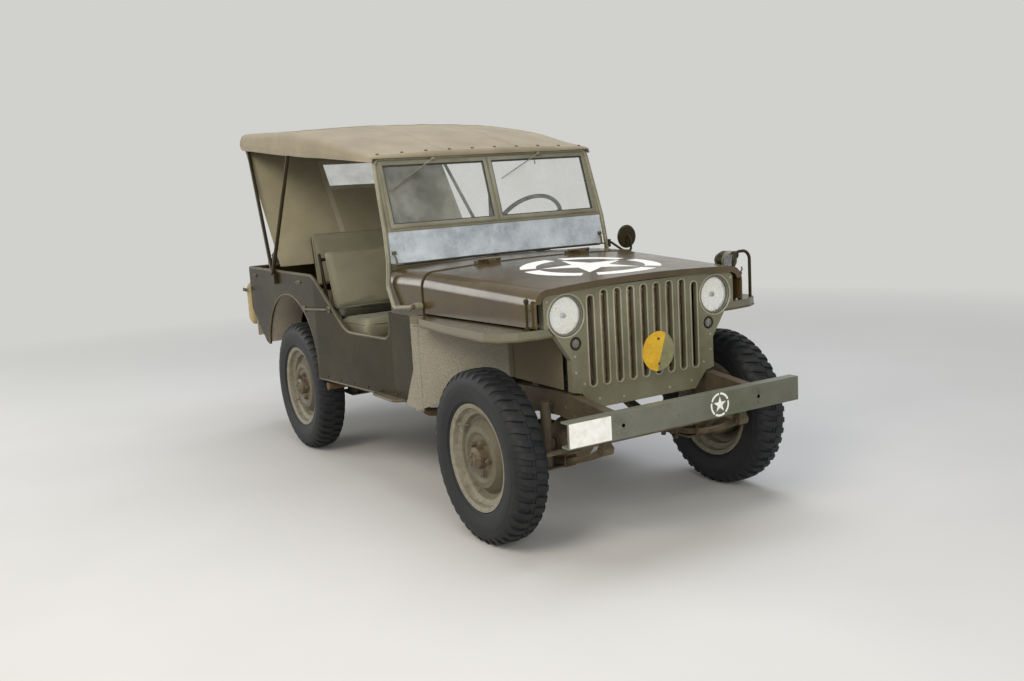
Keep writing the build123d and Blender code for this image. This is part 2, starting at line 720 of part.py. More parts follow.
def make_lamps():
    """Head lamps, marker lamps, the blackout lamp with its guard, and tail lamps."""
    solids = lamp_places(head_section, marker_section, blackout_section)
    x, y, z = blackout_place
    foot = fender_top_z + seat_gap
    stalk = rod((at(x - stalk_back), y, foot), (at(x - stalk_back), y, z - 36), stalk_radius)
    solids[-1] = fused([solids[-1], stalk])
    posts = (y - guard_half, y + guard_half)
    solids.append(pipe([(at(guard_x), posts[0], foot), (at(guard_x), posts[0], guard_top_z), (at(guard_x), posts[1], guard_top_z), (at(guard_x), posts[1], foot)],
                       guard_radius, 40.0))
    for y in (tail_lamp_y, -tail_lamp_y):
        solids.append(rod((at(tub_rear) - seat_gap, y, tail_lamp_z), (at(tub_rear) - tail_lamp_size, y, tail_lamp_z), tail_lamp_size))
    return solids


def make_lenses():
    """Glass of the lamps."""
    return lamp_places(head_glass, marker_glass, blackout_glass)


# Windscreen
screen_low = (-861.0, 1240.0)
screen_top = (-967.0, 1577.0)
screen_foot = (-846.0, 1097.0)
screen_half = 602.0
screen_thick = 10.0
pane_low_z = screen_low[1] + 28.0
pane_top_z = screen_top[1] - 25.0
pane_in = 17.0
pane_out = screen_half - 30.0
pane_thick = 5.0
tube_radius = 11.0
tube_bend = 34.0
screen_hinge = (-560.0, 922.0)  # place and height of the frame's pivots
# the frame's tube from the pivot up to the windscreen's foot: place, distance out, height
screen_leg = [(-560.0, 634.0, 922.0), (-780.0, 634.0, 900.0), (-836.0, 632.0, 990.0), (-838.0, 622.0, 1110.0)]


def screen_slab(front, back):
    """Slab that follows the windscreen's slant, between two distances from its middle plane."""
    line = [screen_foot, screen_low, screen_top]
    ahead = [(at(x) + front, z) for x, z in line]
    behind = [(at(x) + back, z) for x, z in reversed(line)]
    return side_plate(ahead + behind, -screen_half, screen_half)


def make_windscreen_frame():
    """Folding frame: its tube runs down to a hinge on each side of the cowl."""
    upper = [(screen_low[0], screen_half + 15, screen_low[1]), (screen_top[0], screen_half, screen_top[1])]
    leg = [(at(x), y, z) for x, y, z in screen_leg + upper]
    frame = pipe(leg + [(x, -y, z) for x, y, z in reversed(leg)], tube_radius, tube_bend)
    panel = screen_slab(screen_thick / 2, -screen_thick / 2)
    for side in (1, -1):
        panel = panel - pane_block(side, 0.0)
    place, z = screen_hinge
    wall = cowl_shape(place)[1] + 1.2
    bosses = [rod((at(place), side * wall, z), (at(place), side * (screen_leg[0][1] + move_gap), z), tube_radius + move_gap) for side in (1, -1)]
    return fused([frame, panel] + bosses)


def pane_block(side, edge):
    """Block over a pane's opening, smaller all round by an edge."""
    ends = sorted((side * (pane_in + edge), side * (pane_out - edge)))
    return block(at(screen_top[0] - 43), at(screen_low[0] + 41), ends[0], ends[1], pane_low_z + edge, pane_top_z - edge)


def make_windscreen_glass():
    """Two flat panes."""
    return both_sides([screen_slab(pane_thick / 2, -pane_thick / 2) & pane_block(1, seat_gap)])


# Canvas top and its bows
bow_pivot = (-2210.0, 726.0, 990.0)
bow_corner_y = 622.0
front_bow = (-1995.0, 1764.6)
rear_bow = (-2807.0, 1796.0)
# canvas section: place, half width, edge height, crown, lowest edge
canvas_sections = [
    (-950.0, 620.0, 1594.0, 14.0, 1564.0),
    (-1400.0, 646.0, 1694.0, 42.0, 1600.0),
    (-1995.0, 658.0, 1776.0, 20.0, 1640.0),
    (-2838.0, 658.0, 1814.0, 14.0, 1716.0),
]
canvas_skin = 4.0
canvas_corner = 46.0
curtain_low = (-2300.0, 1020.0)
curtain_top = (-2825.5, 1803.0)
curtain_half = 646.0
window_half = 185.0
window_z = (1467.0, 1603.0)


def canvas_section(place, half, edge_z, crown, low_z, inset):
    """Face of the canvas top across the car."""
    x, w, top = at(place), half - inset, edge_z - inset
    r = min(canvas_corner, edge_z - low_z - 4) - inset
    lean = r * (1 - 0.7071)
    low = low_z - inset
    return make_face([
        Line((x, -w, low), (x, -w, top - r)),
        ThreePointArc((x, -w, top - r), (x, -w + lean, top - lean), (x, -w + r, top)),
        ThreePointArc((x, -w + r, top), (x, 0, top + crown), (x, w - r, top)),
        ThreePointArc((x, w - r, top), (x, w - lean, top - lean), (x, w, top - r)),
        Line((x, w, top - r), (x, w, low)),
        Line((x, w, low), (x, -w, low)),
    ])


def make_canvas_top():
    """Canvas stretched over the windscreen's top and two bows."""
    outer = loft([canvas_section(*row, 0) for row in canvas_sections], ruled=True)
    rows = [list(row) for row in canvas_sections]
    rows[0][0] += 1.0
    rows[-1][0] -= 1.0
    hollow = loft([canvas_section(*row, canvas_skin) for row in rows], ruled=True)
    return outer - hollow


def make_top_bows():
    """Two bows on one pair of pivots outside the tub."""
    x, y, z = at(bow_pivot[0]), bow_pivot[1], bow_pivot[2]
    parts = []
    for place, height in (front_bow, rear_bow):
        points = [(x, y, z), (at(place), bow_corner_y, height), (at(place), -bow_corner_y, height), (x, -y, z)]
        parts.append(pipe(points, tube_radius, 90.0))
    wall = tub_half(bow_pivot[0] - 26) + seat_gap
    for side in (1, -1):
        ends = sorted((side * wall, side * (y + 4)))
        parts.append(block(x - 26, x + 26, ends[0], ends[1], z - 54, z + 8))
    return fused(parts)


def make_rear_curtain():
    """Rear curtain with its window, hung just behind the rear bow."""
    (x0, z0), (x1, z1) = curtain_low, curtain_top
    outline = [(at(x0), z0), (at(x1), z1), (at(x1) - canvas_skin, z1), (at(x0) - canvas_skin, z0)]
    slab = side_plate(outline, -curtain_half, curtain_half)
    low, high = window_z
    slab = slab - block(at(x1) - 50, at(x0), -window_half, window_half, low, high)
    for side in (1, -1):
        ends = sorted((side * 616, side * 700))
        slab = slab - block(at(x1) - 50, at(x0), ends[0], ends[1], 1776, z1 + 5)
    return slab


# Steering
column_start = 50.0
wheel_point = (-1165.0, 350.0, 1187.0)
box_point = (-280.0, 350.0, 570.0)
column_radius = 22.0
column_length = (Vector(*wheel_point) - Vector(*box_point)).length
column_end = column_length - 62.0
steering_radius = 215.0


def column_point(length):
    """Point on the steering column so far from the box."""
    ratio = length / column_length
    return tuple(b + (w - b) * ratio for b, w in zip((at(box_point[0]), box_point[1], box_point[2]), (at(wheel_point[0]), wheel_point[1], wheel_point[2])))


def make_steering_column():
    """Steering box on the left rail and the column's tube."""
    x = at(box_point[0])
    box = block(x - 65, x + 65, 274, rail_in - seat_gap, 500, 640)
    head = block(x - 65, x + 65, 274, 372, 588, 652)
    tube = rod(column_point(column_start), column_point(column_end), column_radius)
    bore = rod(column_point(column_end - 50), column_point(column_end + 5), 10.0 + seat_gap)
    return fused([box, head, tube]) - bore


def make_steering_wheel():
    """Rim, hub, six spokes and the end of the shaft."""
    along = (Vector(*column_point(column_length)) - Vector(*column_point(0))).normalized()
    plane = Plane(origin=column_point(column_length), x_dir=(0, 1, 0), z_dir=tuple(along))
    rim = Solid.make_torus(steering_radius - 11, 11.0)
    hub = Pos(0, 0, -46) * Cylinder(30.0, 44.0, align=(Align.CENTER, Align.CENTER, Align.MIN))
    shaft = Pos(0, 0, -100) * Cylinder(10.0, 60.0, align=(Align.CENTER, Align.CENTER, Align.MIN))
    spokes = []
    for turn in (90, 210, 330):
        for shift in (-9, 9):
            spokes.append(Rot(0, 0, turn) * rod((18, shift, -22), (steering_radius - 14, shift, -1), 4.0))
    return plane.location * fused([rim, hub, shaft] + spokes)


def make_tie_rod():
    """Rod between the two steering arms, ahead of the axle."""
    x, y = at(arm_forward), kingpin_y - arm_inward
    low = arm_z - boss_half - seat_gap
    bar = rod((x, -y, low - arm_radius), (x, y, low - arm_radius), arm_radius - 1)
    ends = [rod((x, side * y, low - 2 * boss_half + 2), (x, side * y, low), boss_radius + 1) for side in (1, -1)]
    return fused([bar] + ends)


# Seats
seat_rail_z = 680.0
seat_tube = 9.0
seat_sides = (206.0, 612.0)
seat_front = -1215.0
seat_back = -1630.0
passenger_pivot_z = 545.0


seat_side_room = 13.0           # the cushion stops short of the pad's edge, to pass the tub's side as the seat tips
seat_leg = -1535.0
seat_back_top = (-1752.0, 1110.0)
seat_bend = 34.0
seat_front_bar_z = 640.0
seat_back_bar = (-1744.0, 1080.0)
cushion_front = seat_front + 15.0
cushion_back = seat_back + 20.0
cushion_tall = (96.0, 110.0)    # back, front
back_section = [(-1602.0, 806.0), (-1656.0, 806.0), (-1749.8, 1136.0), (-1694.0, 1136.0)]


def make_seat_frame(side, foot_z, rear_foot_z):
    """Bent tube frame of a front seat."""
    parts = []
    for y in seat_sides:
        path = [(at(seat_front), side * y, foot_z), (at(seat_front), side * y, seat_rail_z), (at(seat_back), side * y, seat_rail_z),
                (at(seat_back_top[0]), side * y, seat_back_top[1])]
        parts.append(pipe(path, seat_tube, seat_bend))
        parts.append(rod((at(seat_leg), side * y, rear_foot_z), (at(seat_leg), side * y, seat_rail_z), seat_tube))
    low, high = seat_sides
    for x, z in ((seat_front + 10, seat_front_bar_z), (seat_leg - 25, seat_rail_z), seat_back_bar):
        parts.append(rod((at(x), side * low, z), (at(x), side * high, z), seat_tube))
    if side < 0:
        parts.append(rod((at(seat_front), -high - 19, foot_z), (at(seat_front), -low + 19, foot_z), seat_tube))
    return fused(parts)


def make_seat_cushions(side):
    """Cushion and back pad of a front seat."""
    low, high = seat_sides[0] - 8, seat_sides[1] + 8
    seat_z = seat_rail_z + seat_tube + seat_gap
    front, rear = at(cushion_front), at(cushion_back)
    seat = side_plate([(front, seat_z), (rear, seat_z), (rear, seat_z + cushion_tall[0]), (front, seat_z + cushion_tall[1])], side * low, side * (high - seat_side_room))
    seat = fillet(seat.edges().filter_by(Axis.Y, tolerance=8), 26.0)
    back = side_plate([(at(x), z) for x, z in back_section], side * low, side * high)
    bend, top = (at(seat_back), seat_rail_z), (at(seat_back_top[0]), seat_back_top[1])
    tubes = [pipe([(bend[0] + 160, side * y, bend[1]), (bend[0], side * y, bend[1]), (top[0], side * y, top[1])], seat_tube + seat_gap, seat_bend)
             for y in seat_sides]
    back = fillet(back.edges().filter_by(Axis.Y, tolerance=8), 20.0)
    bar_x, bar_z = at(seat_back_bar[0]), seat_back_bar[1]
    bar = rod((bar_x, side * low - 20, bar_z), (bar_x, side * high + 20, bar_z), seat_tube + seat_gap)
    return [seat, fused([back]) - tubes[0] - tubes[1] - bar]


rear_seat_half = 470.0
rear_rail_z = 730.0
rear_leg_front = -1865.0
rear_leg_back = -2250.0
rear_cross_inset = 20.0
rear_leg_inset = 12.0
rear_bar_inset = 34.0
rear_cushion_front = rear_leg_front + 15.0
rear_cushion_back = rear_leg_back + 66.0
rear_cushion_tall = 66.0
rear_cushion_round = 24.0
rear_pivot = (rear_leg_back - 10.0, rear_rail_z + 128.0)
rear_bar_lean = 50.0            # how far the back's bars lean back over their height
rear_bar_tall = 318.0
# section of the back pad: behind the pivot and above it
rear_pad_section = [(5.4, 26.0), (62.0, 26.0), (8.0, 358.0), (-46.9, 358.0)]


def make_rear_seat():
    """Rear seat: fixed frame, cushion, folding back frame and its pad."""
    floor_top = rear_floor_z + floor_thick + seat_gap
    rail, front, back = rear_rail_z, at(rear_leg_front), at(rear_leg_back)
    legs = []
    for side in (1, -1):
        y = side * (rear_seat_half - rear_leg_inset)
        legs.append(pipe([(front, y, floor_top), (front, y, rail), (back, y, rail), (back, y, floor_top)], seat_tube, 30.0))
        legs.append(block(back + 2, back - 22, y - 6, y + 6, rail - 2, rear_pivot[1] + 14))
    reach = rear_seat_half - rear_leg_inset
    cross = [rod((x, -reach, rail), (x, reach, rail), seat_tube) for x in (front - rear_cross_inset, back + rear_cross_inset)]
    frame = fused(legs + cross)
    pad_z = rail + seat_tube + seat_gap
    cushion = block(at(rear_cushion_front), at(rear_cushion_back), -rear_seat_half, rear_seat_half, pad_z, pad_z + rear_cushion_tall)
    cushion = fillet(cushion.edges().filter_by(Axis.Y), rear_cushion_round)
    px, pz = at(rear_pivot[0]), rear_pivot[1]
    back_bars = []
    bar_y = rear_seat_half - rear_bar_inset
    for side in (1, -1):
        y = side * bar_y
        back_bars.append(rod((px, y, pz), (px - rear_bar_lean, y, pz + rear_bar_tall), seat_tube))
        back_bars.append(rod((px, y - 14 * side, pz), (px, y + 15.7 * side, pz), 12.0))
    cross_x, cross_z = px - rear_bar_lean + 4, pz + rear_bar_tall - 26
    back_bars.append(rod((cross_x, -bar_y, cross_z), (cross_x, bar_y, cross_z), seat_tube))
    back_frame = fused(back_bars)
    slab = side_plate([(px + x, pz + z) for x, z in rear_pad_section], -rear_seat_half, rear_seat_half)
    slab = fillet(slab.edges().filter_by(Axis.Y), rear_cushion_round - 2)
    for bar in back_bars:
        slab = slab - bar
    return frame, cushion, back_frame, slab


# Running gear under the body
# engine, head, mounts, gearbox and transfer case: front, back, right, left, low, high
unit_blocks = [
    (60.0, -480.0, -150.0, 150.0, 500.0, 880.0),
    (20.0, -440.0, -110.0, 60.0, 875.0, 950.0),
    (-20.0, -60.0, -360.0, 360.0, 598.5, 630.0),
    (-475.0, -985.0, -115.0, 115.0, 372.0, 505.0),
    (-980.0, -1072.0, -275.0, 115.0, 340.0, 505.0),
]
fan_z = 720.0
fan_hub = 40.0
shaft_radius = 20.0
joint_radius = 38.0
joint_length = 60.0
transfer_z = 386.0              # height of the shafts at the transfer case


def make_power_unit():
    """Engine, gearbox and transfer case as plain blocks on their mounts."""
    solids = [block(at(front), at(back), y0, y1, z0, z1) for front, back, y0, y1, z0, z1 in unit_blocks]
    nose = unit_blocks[0][0]
    fan = rod((at(nose - 5), 0, fan_z), (at(nose + 30), 0, fan_z), fan_hub)
    return fused(solids + [fan])


def make_drive_shafts():
    """Front and rear shafts with their joints."""
    solids = []
    case_front, case_back = unit_blocks[-1][:2]
    ends = ((-nose_length - seat_gap, case_front + seat_gap), (-wheel_base + nose_length + seat_gap, case_back - seat_gap))
    for diff_end, box_end in ends:
        step = joint_length if box_end > diff_end else -joint_length
        z0, z1 = axle_z, transfer_z
        shaft = rod((at(diff_end + step / 2), diff_y, z0), (at(box_end - step / 2), diff_y, z1), shaft_radius)
        first = rod((at(diff_end), diff_y, z0), (at(diff_end + step), diff_y, z0), joint_radius)
        last = rod((at(box_end), diff_y, z1), (at(box_end - step), diff_y, z1), joint_radius)
        solids.append(fused([shaft, first, last]))
    return solids


silencer_y = -470.0
silencer_z = 430.0
silencer_front = -1000.0
silencer_back = -1420.0
silencer_radius = 48.0
exhaust_radius = 20.0
# lines of the exhaust pipe's middle: place, distance to the left, height
exhaust_lead = [(-400.0, unit_blocks[0][2] - seat_gap, 545.0), (-400.0, -262.0, 545.0), (-400.0, -284.0, 370.0), (-690.0, -284.0, 370.0),
                (-850.0, silencer_y, 370.0), (-950.0, silencer_y, silencer_z), (silencer_front - 10, silencer_y, silencer_z)]
exhaust_tail = [(silencer_back + 10, silencer_y, silencer_z), (-1500.0, silencer_y, silencer_z), (-1580.0, -600.0, 424.0), (-1580.0, -690.0, 424.0)]


def make_exhaust():
    """Pipe, silencer and tail on the right."""
    y, z = silencer_y, silencer_z
    silencer = rod((at(silencer_front), y, z), (at(silencer_back), y, z), silencer_radius)
    lead = pipe([(at(x), py, pz) for x, py, pz in exhaust_lead], exhaust_radius, 34.0)
    tail = pipe([(at(x), py, pz) for x, py, pz in exhaust_tail], exhaust_radius, 45.0)
    rail_z = rail_line[3][1]
    hangers = [rod((at(x), -rail_out - 1.4, rail_z), (at(x), y, z + 20), 8.0) for x in (silencer_front - 60, silencer_back + 60)]
    return fused([silencer, lead, tail] + hangers)


radiator_x = 170.0
radiator_half = 236.0
core_half = 30.0                # half its thickness
tank_half = 37.0
radiator_top_z = 990.0
tank_tall = 60.0


def make_radiator():
    """Core with its tanks, standing on a cross member."""
    x, y, top_z = at(radiator_x), radiator_half, radiator_top_z
    z0 = cross_members[1][1] + cross_members[1][2] + seat_gap
    core = block(x - core_half, x + core_half, -y, y, z0, top_z - tank_tall / 2)
    top = block(x - tank_half, x + tank_half, -y, y, top_z - tank_tall, top_z)
    low = block(x - tank_half, x + tank_half, -y, y, z0, z0 + tank_tall * 0.8)
    cap = rod((x, 0, top_z - 5), (x, 0, top_z + 20), 26.0)
    return fused([core, top, low, cap])


def make_bumperettes():
    """Two rear guards of bent flat bar and the towing hook."""
    solids = []
    end = at(rail_line[-1][0])
    z0, z1 = 446.0, 490.0
    bar = flat_plate([(end - seat_gap, rail_out - 30), (end - 58, rail_out - 34), (end - 70, rail_out + 20), (end - 70, 540.0), (end - 54, 566.0), (end - 8, 566.0),
                      (end - 8, 558.0), (end - 50, 558.0), (end - 62, 536.0), (end - 62, rail_out + 20), (end - 50, rail_out - 24), (end - seat_gap, rail_out - 20)], z0, z1)
    foot = block(end - seat_gap, end - 10, rail_in + 2, rail_out - 2, z0, 520)
    solids = both_sides([fused([bar, foot])])
    rear_cross = cross_members[-1]
    hook_x = at(rear_cross[0]) - rear_cross[2] - seat_gap
    shank = block(hook_x - 60, hook_x, -22, 22, rear_cross[1] - 20, rear_cross[1] + 20)
    eye = rod((hook_x - 56, 0, rear_cross[1] - 14), (hook_x - 56, 0, rear_cross[1] + 14), 30.0)
    solids.append(fused([shank, eye]) - rod((hook_x - 60, 0, rear_cross[1] - 20), (hook_x - 60, 0, rear_cross[1] + 20), 13.0))
    return solids


# Spare wheel and small pieces
spare_y = -240.0
spare_z = 850.0
spare_middle = -2768.0
spare_disc = spare_middle - 26.0


def place_spare(solid):
    """Set a wheel's solid behind the rear panel, outward to the back."""
    return Pos(at(spare_middle), spare_y, spare_z) * Rot(0, 0, 90) * solid


# mirror arm from its base, under the head and into the front of its shell: place, distance out, height
mirror_arm = [(-838.0, 645.0, 1100.0), (-790.0, 697.0, 1048.0), (-726.0, 700.0, 1048.0), (-726.0, 700.0, 1121.0), (-753.0, 700.0, 1121.0)]
mirror_section = [(-5, 0), (-5, 56), (0, 60), (8, 52), (12, 30), (13, 0)]
mirror_ahead = -760.0


def make_mirror():
    """Round mirror on an arm from the windscreen's left side, its glass to the back."""
    arm = pipe([(at(x), y, z) for x, y, z in mirror_arm], 6.0, 18.0)
    tip, foot = mirror_arm[-1], mirror_arm[0]
    head = Pos(at(mirror_ahead), tip[1], tip[2]) * Rot(0, 0, -90) * turned(mirror_section)
    y = foot[1] - 0.4
    base = rod((at(foot[0]), y, foot[2] - 30), (at(foot[0]), y, foot[2] + 10), 8.0)
    return fused([arm, head, base])


# bag from the side: behind the panel, height
bag_section = [(0.0, 640.0), (-78.0, 680.0), (-96.0, 900.0), (-60.0, 948.0), (0.0, 952.0)]
bag_in = 610.0
bag_out = tub_rear_half + 20.0


def make_bag():
    """Canvas bag hung on the rear panel's right corner."""
    x = at(tub_rear) - seat_gap
    bag = side_plate([(x + step, z) for step, z in bag_section], -bag_in, -bag_out)
    return fillet(bag.edges().filter_by(Axis.Y), 18.0)


def make_fuel_tank():
    """Tank under the driver's seat."""
    low = floor_z + floor_thick + seat_gap
    tank = block(at(seat_front - 35), at(seat_front - 330), seat_sides[0] + 20, seat_sides[1] - 22, low, seat_rail_z - 18)
    return fillet(tank.edges().filter_by(Axis.Y), 30.0)


catch_out = 18.0                # how far the catches stand out from the hood's nose
catch_radius = 5.0


def make_catches():
    """Rod catches that hold the hood down on each side."""
    x, y = at(grille_x - 22), hood_nose[1] + catch_out
    low, top = fender_top_z + seat_gap, hood_nose[2] - 40
    bar = rod((x, y, low), (x, y, top), catch_radius)
    foot = rod((x, y, low), (x, y, low + 16), 2 * catch_radius)
    grip = rod((x, y - 7, top), (x, y + 6, top), 2 * catch_radius - 1)
    return both_sides([fused([bar, foot, grip])])


def write_all():
    """Write one file per node."""
    os.makedirs("parts", exist_ok=True)
    for name, shape in nodes.items():
        export_step(shape, "parts/" + name + ".step")


def build_nodes():
    """Make every node."""
    keep("frame", make_frame())
    keep("front_bumper", make_front_bumper())
    keep("front_axle", make_front_axle())
    keep("rear_axle", make_rear_axle())
    knuckle = make_knuckle()
    keep("knuckle_left", knuckle)
    keep("knuckle_right", other_side(knuckle))
    keep("suspension", *make_suspension())
    driven, tyre = make_rim(True), make_tyre()
    for name, x, side in wheel_table:
        keep("wheel_" + name, place_wheel(driven, x, side))
        keep("tyre_" + name, place_wheel(tyre, x, side))
    keep("spare_rim", place_spare(make_rim(False)))
    keep("spare_tyre", place_spare(tyre))
    keep("power_unit", make_power_unit())
    keep("drive_shafts", *make_drive_shafts())
    keep("exhaust", make_exhaust())
    keep("radiator", make_radiator())
    keep("fuel_tank", make_fuel_tank())
    keep("rear_bumperettes", *make_bumperettes())
    keep("body_sides", *both_sides([make_body_side()]))
    keep("rear_panel", make_rear_panel())
    keep("body_floor", make_body_floor())
    keep("cowl", make_cowl())
    keep("hood", make_hood())
    keep("hood_catches", *make_catches())
    keep("front_fenders", *both_sides([make_fender()]))
    keep("grille", make_grille())
    keep("lamps", *make_lamps())
    keep("lamp_lenses", *make_lenses())
    keep("windscreen_frame", make_windscreen_frame())
    keep("windscreen_glass", *make_windscreen_glass())
    keep("top_bows", make_top_bows())
    keep("canvas_top", make_canvas_top())
    keep("rear_curtain", make_rear_curtain())
    keep("steering_column", make_steering_column())
    keep("steering_wheel", make_steering_wheel())
    keep("tie_rod", make_tie_rod())
    floor_top = floor_z + floor_thick
    keep("driver_seat_frame", make_seat_frame(1, floor_top + seat_gap, floor_top + seat_gap))
    keep("driver_cushions", *make_seat_cushions(1))
    keep("passenger_seat_frame", make_seat_frame(-1, passenger_pivot_z, floor_top + 8))
    keep("passenger_cushions", *make_seat_cushions(-1))
    frame, cushion, back_frame, back_pad = make_rear_seat()
    keep("rear_seat_frame", frame)
    keep("rear_seat_cushion", cushion)
    keep("rear_seat_back", back_frame)
    keep("rear_back_pad", back_pad)
    keep("mirror", make_mirror())
    keep("canvas_bag", make_bag())


build_nodes()
write_all()
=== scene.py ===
import bpy
import bmesh
import json
from math import cos, pi, radians, sin, tan
from mathutils import Matrix, Vector, noise
from mathutils.bvhtree import BVHTree

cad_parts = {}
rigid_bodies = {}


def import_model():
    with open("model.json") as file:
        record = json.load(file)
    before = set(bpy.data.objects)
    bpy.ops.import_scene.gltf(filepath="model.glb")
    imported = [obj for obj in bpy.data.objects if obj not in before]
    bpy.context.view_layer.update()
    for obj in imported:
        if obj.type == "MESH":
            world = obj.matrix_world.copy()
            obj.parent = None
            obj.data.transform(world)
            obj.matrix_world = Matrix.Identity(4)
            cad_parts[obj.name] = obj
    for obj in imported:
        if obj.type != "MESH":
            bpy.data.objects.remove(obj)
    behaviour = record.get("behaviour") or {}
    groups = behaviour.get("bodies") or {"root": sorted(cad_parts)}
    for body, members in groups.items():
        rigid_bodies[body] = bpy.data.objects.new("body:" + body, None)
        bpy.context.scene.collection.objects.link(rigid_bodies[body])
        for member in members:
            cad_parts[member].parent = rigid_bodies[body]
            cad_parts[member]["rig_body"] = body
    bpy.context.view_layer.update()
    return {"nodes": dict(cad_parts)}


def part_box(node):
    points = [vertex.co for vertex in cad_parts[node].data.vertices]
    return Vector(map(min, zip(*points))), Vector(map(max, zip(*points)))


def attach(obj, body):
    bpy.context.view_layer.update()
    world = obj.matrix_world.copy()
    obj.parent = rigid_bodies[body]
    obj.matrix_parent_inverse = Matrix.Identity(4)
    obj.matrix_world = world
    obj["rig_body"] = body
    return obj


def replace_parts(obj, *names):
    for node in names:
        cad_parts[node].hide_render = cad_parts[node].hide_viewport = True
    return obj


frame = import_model()
nodes = frame["nodes"]
nodeBody = {name: node["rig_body"] for name, node in nodes.items()}


# finishes: each is a base and the layers that lie on it


def hexColour(text):
    parts = [int(text[i:i + 2], 16) / 255 for i in (1, 3, 5)]
    return [c / 12.92 if c <= 0.04045 else ((c + 0.055) / 1.055) ** 2.4 for c in parts] + [1.0]


def addNode(tree, kind, inputs=None, out=0, **settings):
    # one node with its settings; each input takes a link or a value
    node = tree.nodes.new(kind)
    for key, value in settings.items():
        setattr(node, key, value)
    for key, value in (inputs or {}).items():
        if isinstance(value, bpy.types.NodeSocket):
            tree.links.new(value, node.inputs[key])
        else:
            node.inputs[key].default_value = value
    return node.outputs[out] if node.outputs else node


def patternSource(tree, place, kind, *values):
    # what a layer or a bump follows: noise, weave, a coordinate in metres, the facing, or the distance from a wheel's axle
    if kind == "noise":
        scale, detail, rough = values
        return addNode(tree, "ShaderNodeTexNoise", {"Vector": place, "Scale": scale, "Detail": detail, "Roughness": rough})
    if kind == "weave":
        waves = [addNode(tree, "ShaderNodeTexWave",
            {"Vector": place, "Scale": pi / 10 / values[0], "Distortion": 0.6, "Detail": 1.0}, "Fac",
                    bands_direction=axis) for axis in "XYZ"]
        return addNode(tree, "ShaderNodeMath", {0: addNode(tree, "ShaderNodeMath", {0: waves[0], 1: waves[1]}), 1: waves[2]})
    if kind == "up":
        return addNode(tree, "ShaderNodeSeparateXYZ", {0: addNode(tree, "ShaderNodeNewGeometry", out="Normal")}, "Z")
    axes = addNode(tree, "ShaderNodeSeparateXYZ", {0: place}).node.outputs
    if kind == "across":
        return addNode(tree, "ShaderNodeMath", {0: axes["Y"]}, operation="ABSOLUTE")
    if kind == "radius":
        # both axles stand 1.016 m from the middle of the wheelbase, at x 0.146
        along = addNode(tree, "ShaderNodeMath", {0: addNode(tree, "ShaderNodeMath", {0: axes["X"], 1: 0.146},
            operation="SUBTRACT")}, operation="ABSOLUTE")
        along = addNode(tree, "ShaderNodeMath", {0: along, 1: 1.016}, operation="SUBTRACT")
        down = addNode(tree, "ShaderNodeMath", {0: axes["Z"], 1: 0.358}, operation="SUBTRACT")
        return addNode(tree, "ShaderNodeVectorMath", {0: addNode(tree, "ShaderNodeCombineXYZ", {0: along, 1: down})}, "Value",
            operation="LENGTH")
    return axes[kind.upper()]


def newMaterial(name, sockets=None):
    material = bpy.data.materials.new(name)
    material.use_nodes = True
    tree = material.node_tree
    tree.nodes.clear()
    shader = addNode(tree, "ShaderNodeBsdfPrincipled", sockets)
    addNode(tree, "ShaderNodeOutputMaterial", {"Surface": shader})
    return material, tree, shader.node, addNode(tree, "ShaderNodeTexCoord", out="Object")


def makeFinish(name, look):
    material, tree, shader, place = newMaterial(name, look.get("sockets"))
    colour, rough = hexColour(look["base"][0]), look["base"][1]
    for tint, dull, *factors in look["layers"]:
        # a factor is a plain share, or a pattern with the two values between which it rises from 0 to 1
        share = None
        for factor in factors:
            if isinstance(factor, tuple):
                *source, low, high = factor
                factor = addNode(tree, "ShaderNodeMapRange",
                    {"Value": patternSource(tree, place, *source), "From Min": low, "From Max": high})
            share = factor if share is None else addNode(tree, "ShaderNodeMath", {0: share, 1: factor}, operation="MULTIPLY")
        colour = addNode(tree, "ShaderNodeMix", {0: share, 6: colour, 7: hexColour(tint)}, 2, data_type="RGBA")
        rough = addNode(tree, "ShaderNodeMix", {0: share, 2: rough, 3: dull})
    tree.links.new(colour, shader.inputs["Base Color"])
    tree.links.new(rough, shader.inputs["Roughness"])
    normal = None
    for strength, distance, *source in look["bumps"]:
        inputs = {"Strength": strength, "Distance": distance, "Height": patternSource(tree, place, *source)}
        normal = addNode(tree, "ShaderNodeBump", dict(inputs, Normal=normal) if normal else inputs)
    if normal:
        tree.links.new(normal, shader.inputs["Normal"])
    if "film" in look:
        thin, thick = look["film"]
        film = {"Value": patternSource(tree, place, "noise", 7.0, 6.0, 0.62), "From Min": 0.36, "From Max": 0.68,
            "To Min": thin, "To Max": thick}
        tree.links.new(addNode(tree, "ShaderNodeMapRange", film), shader.inputs["Alpha"])
    return material


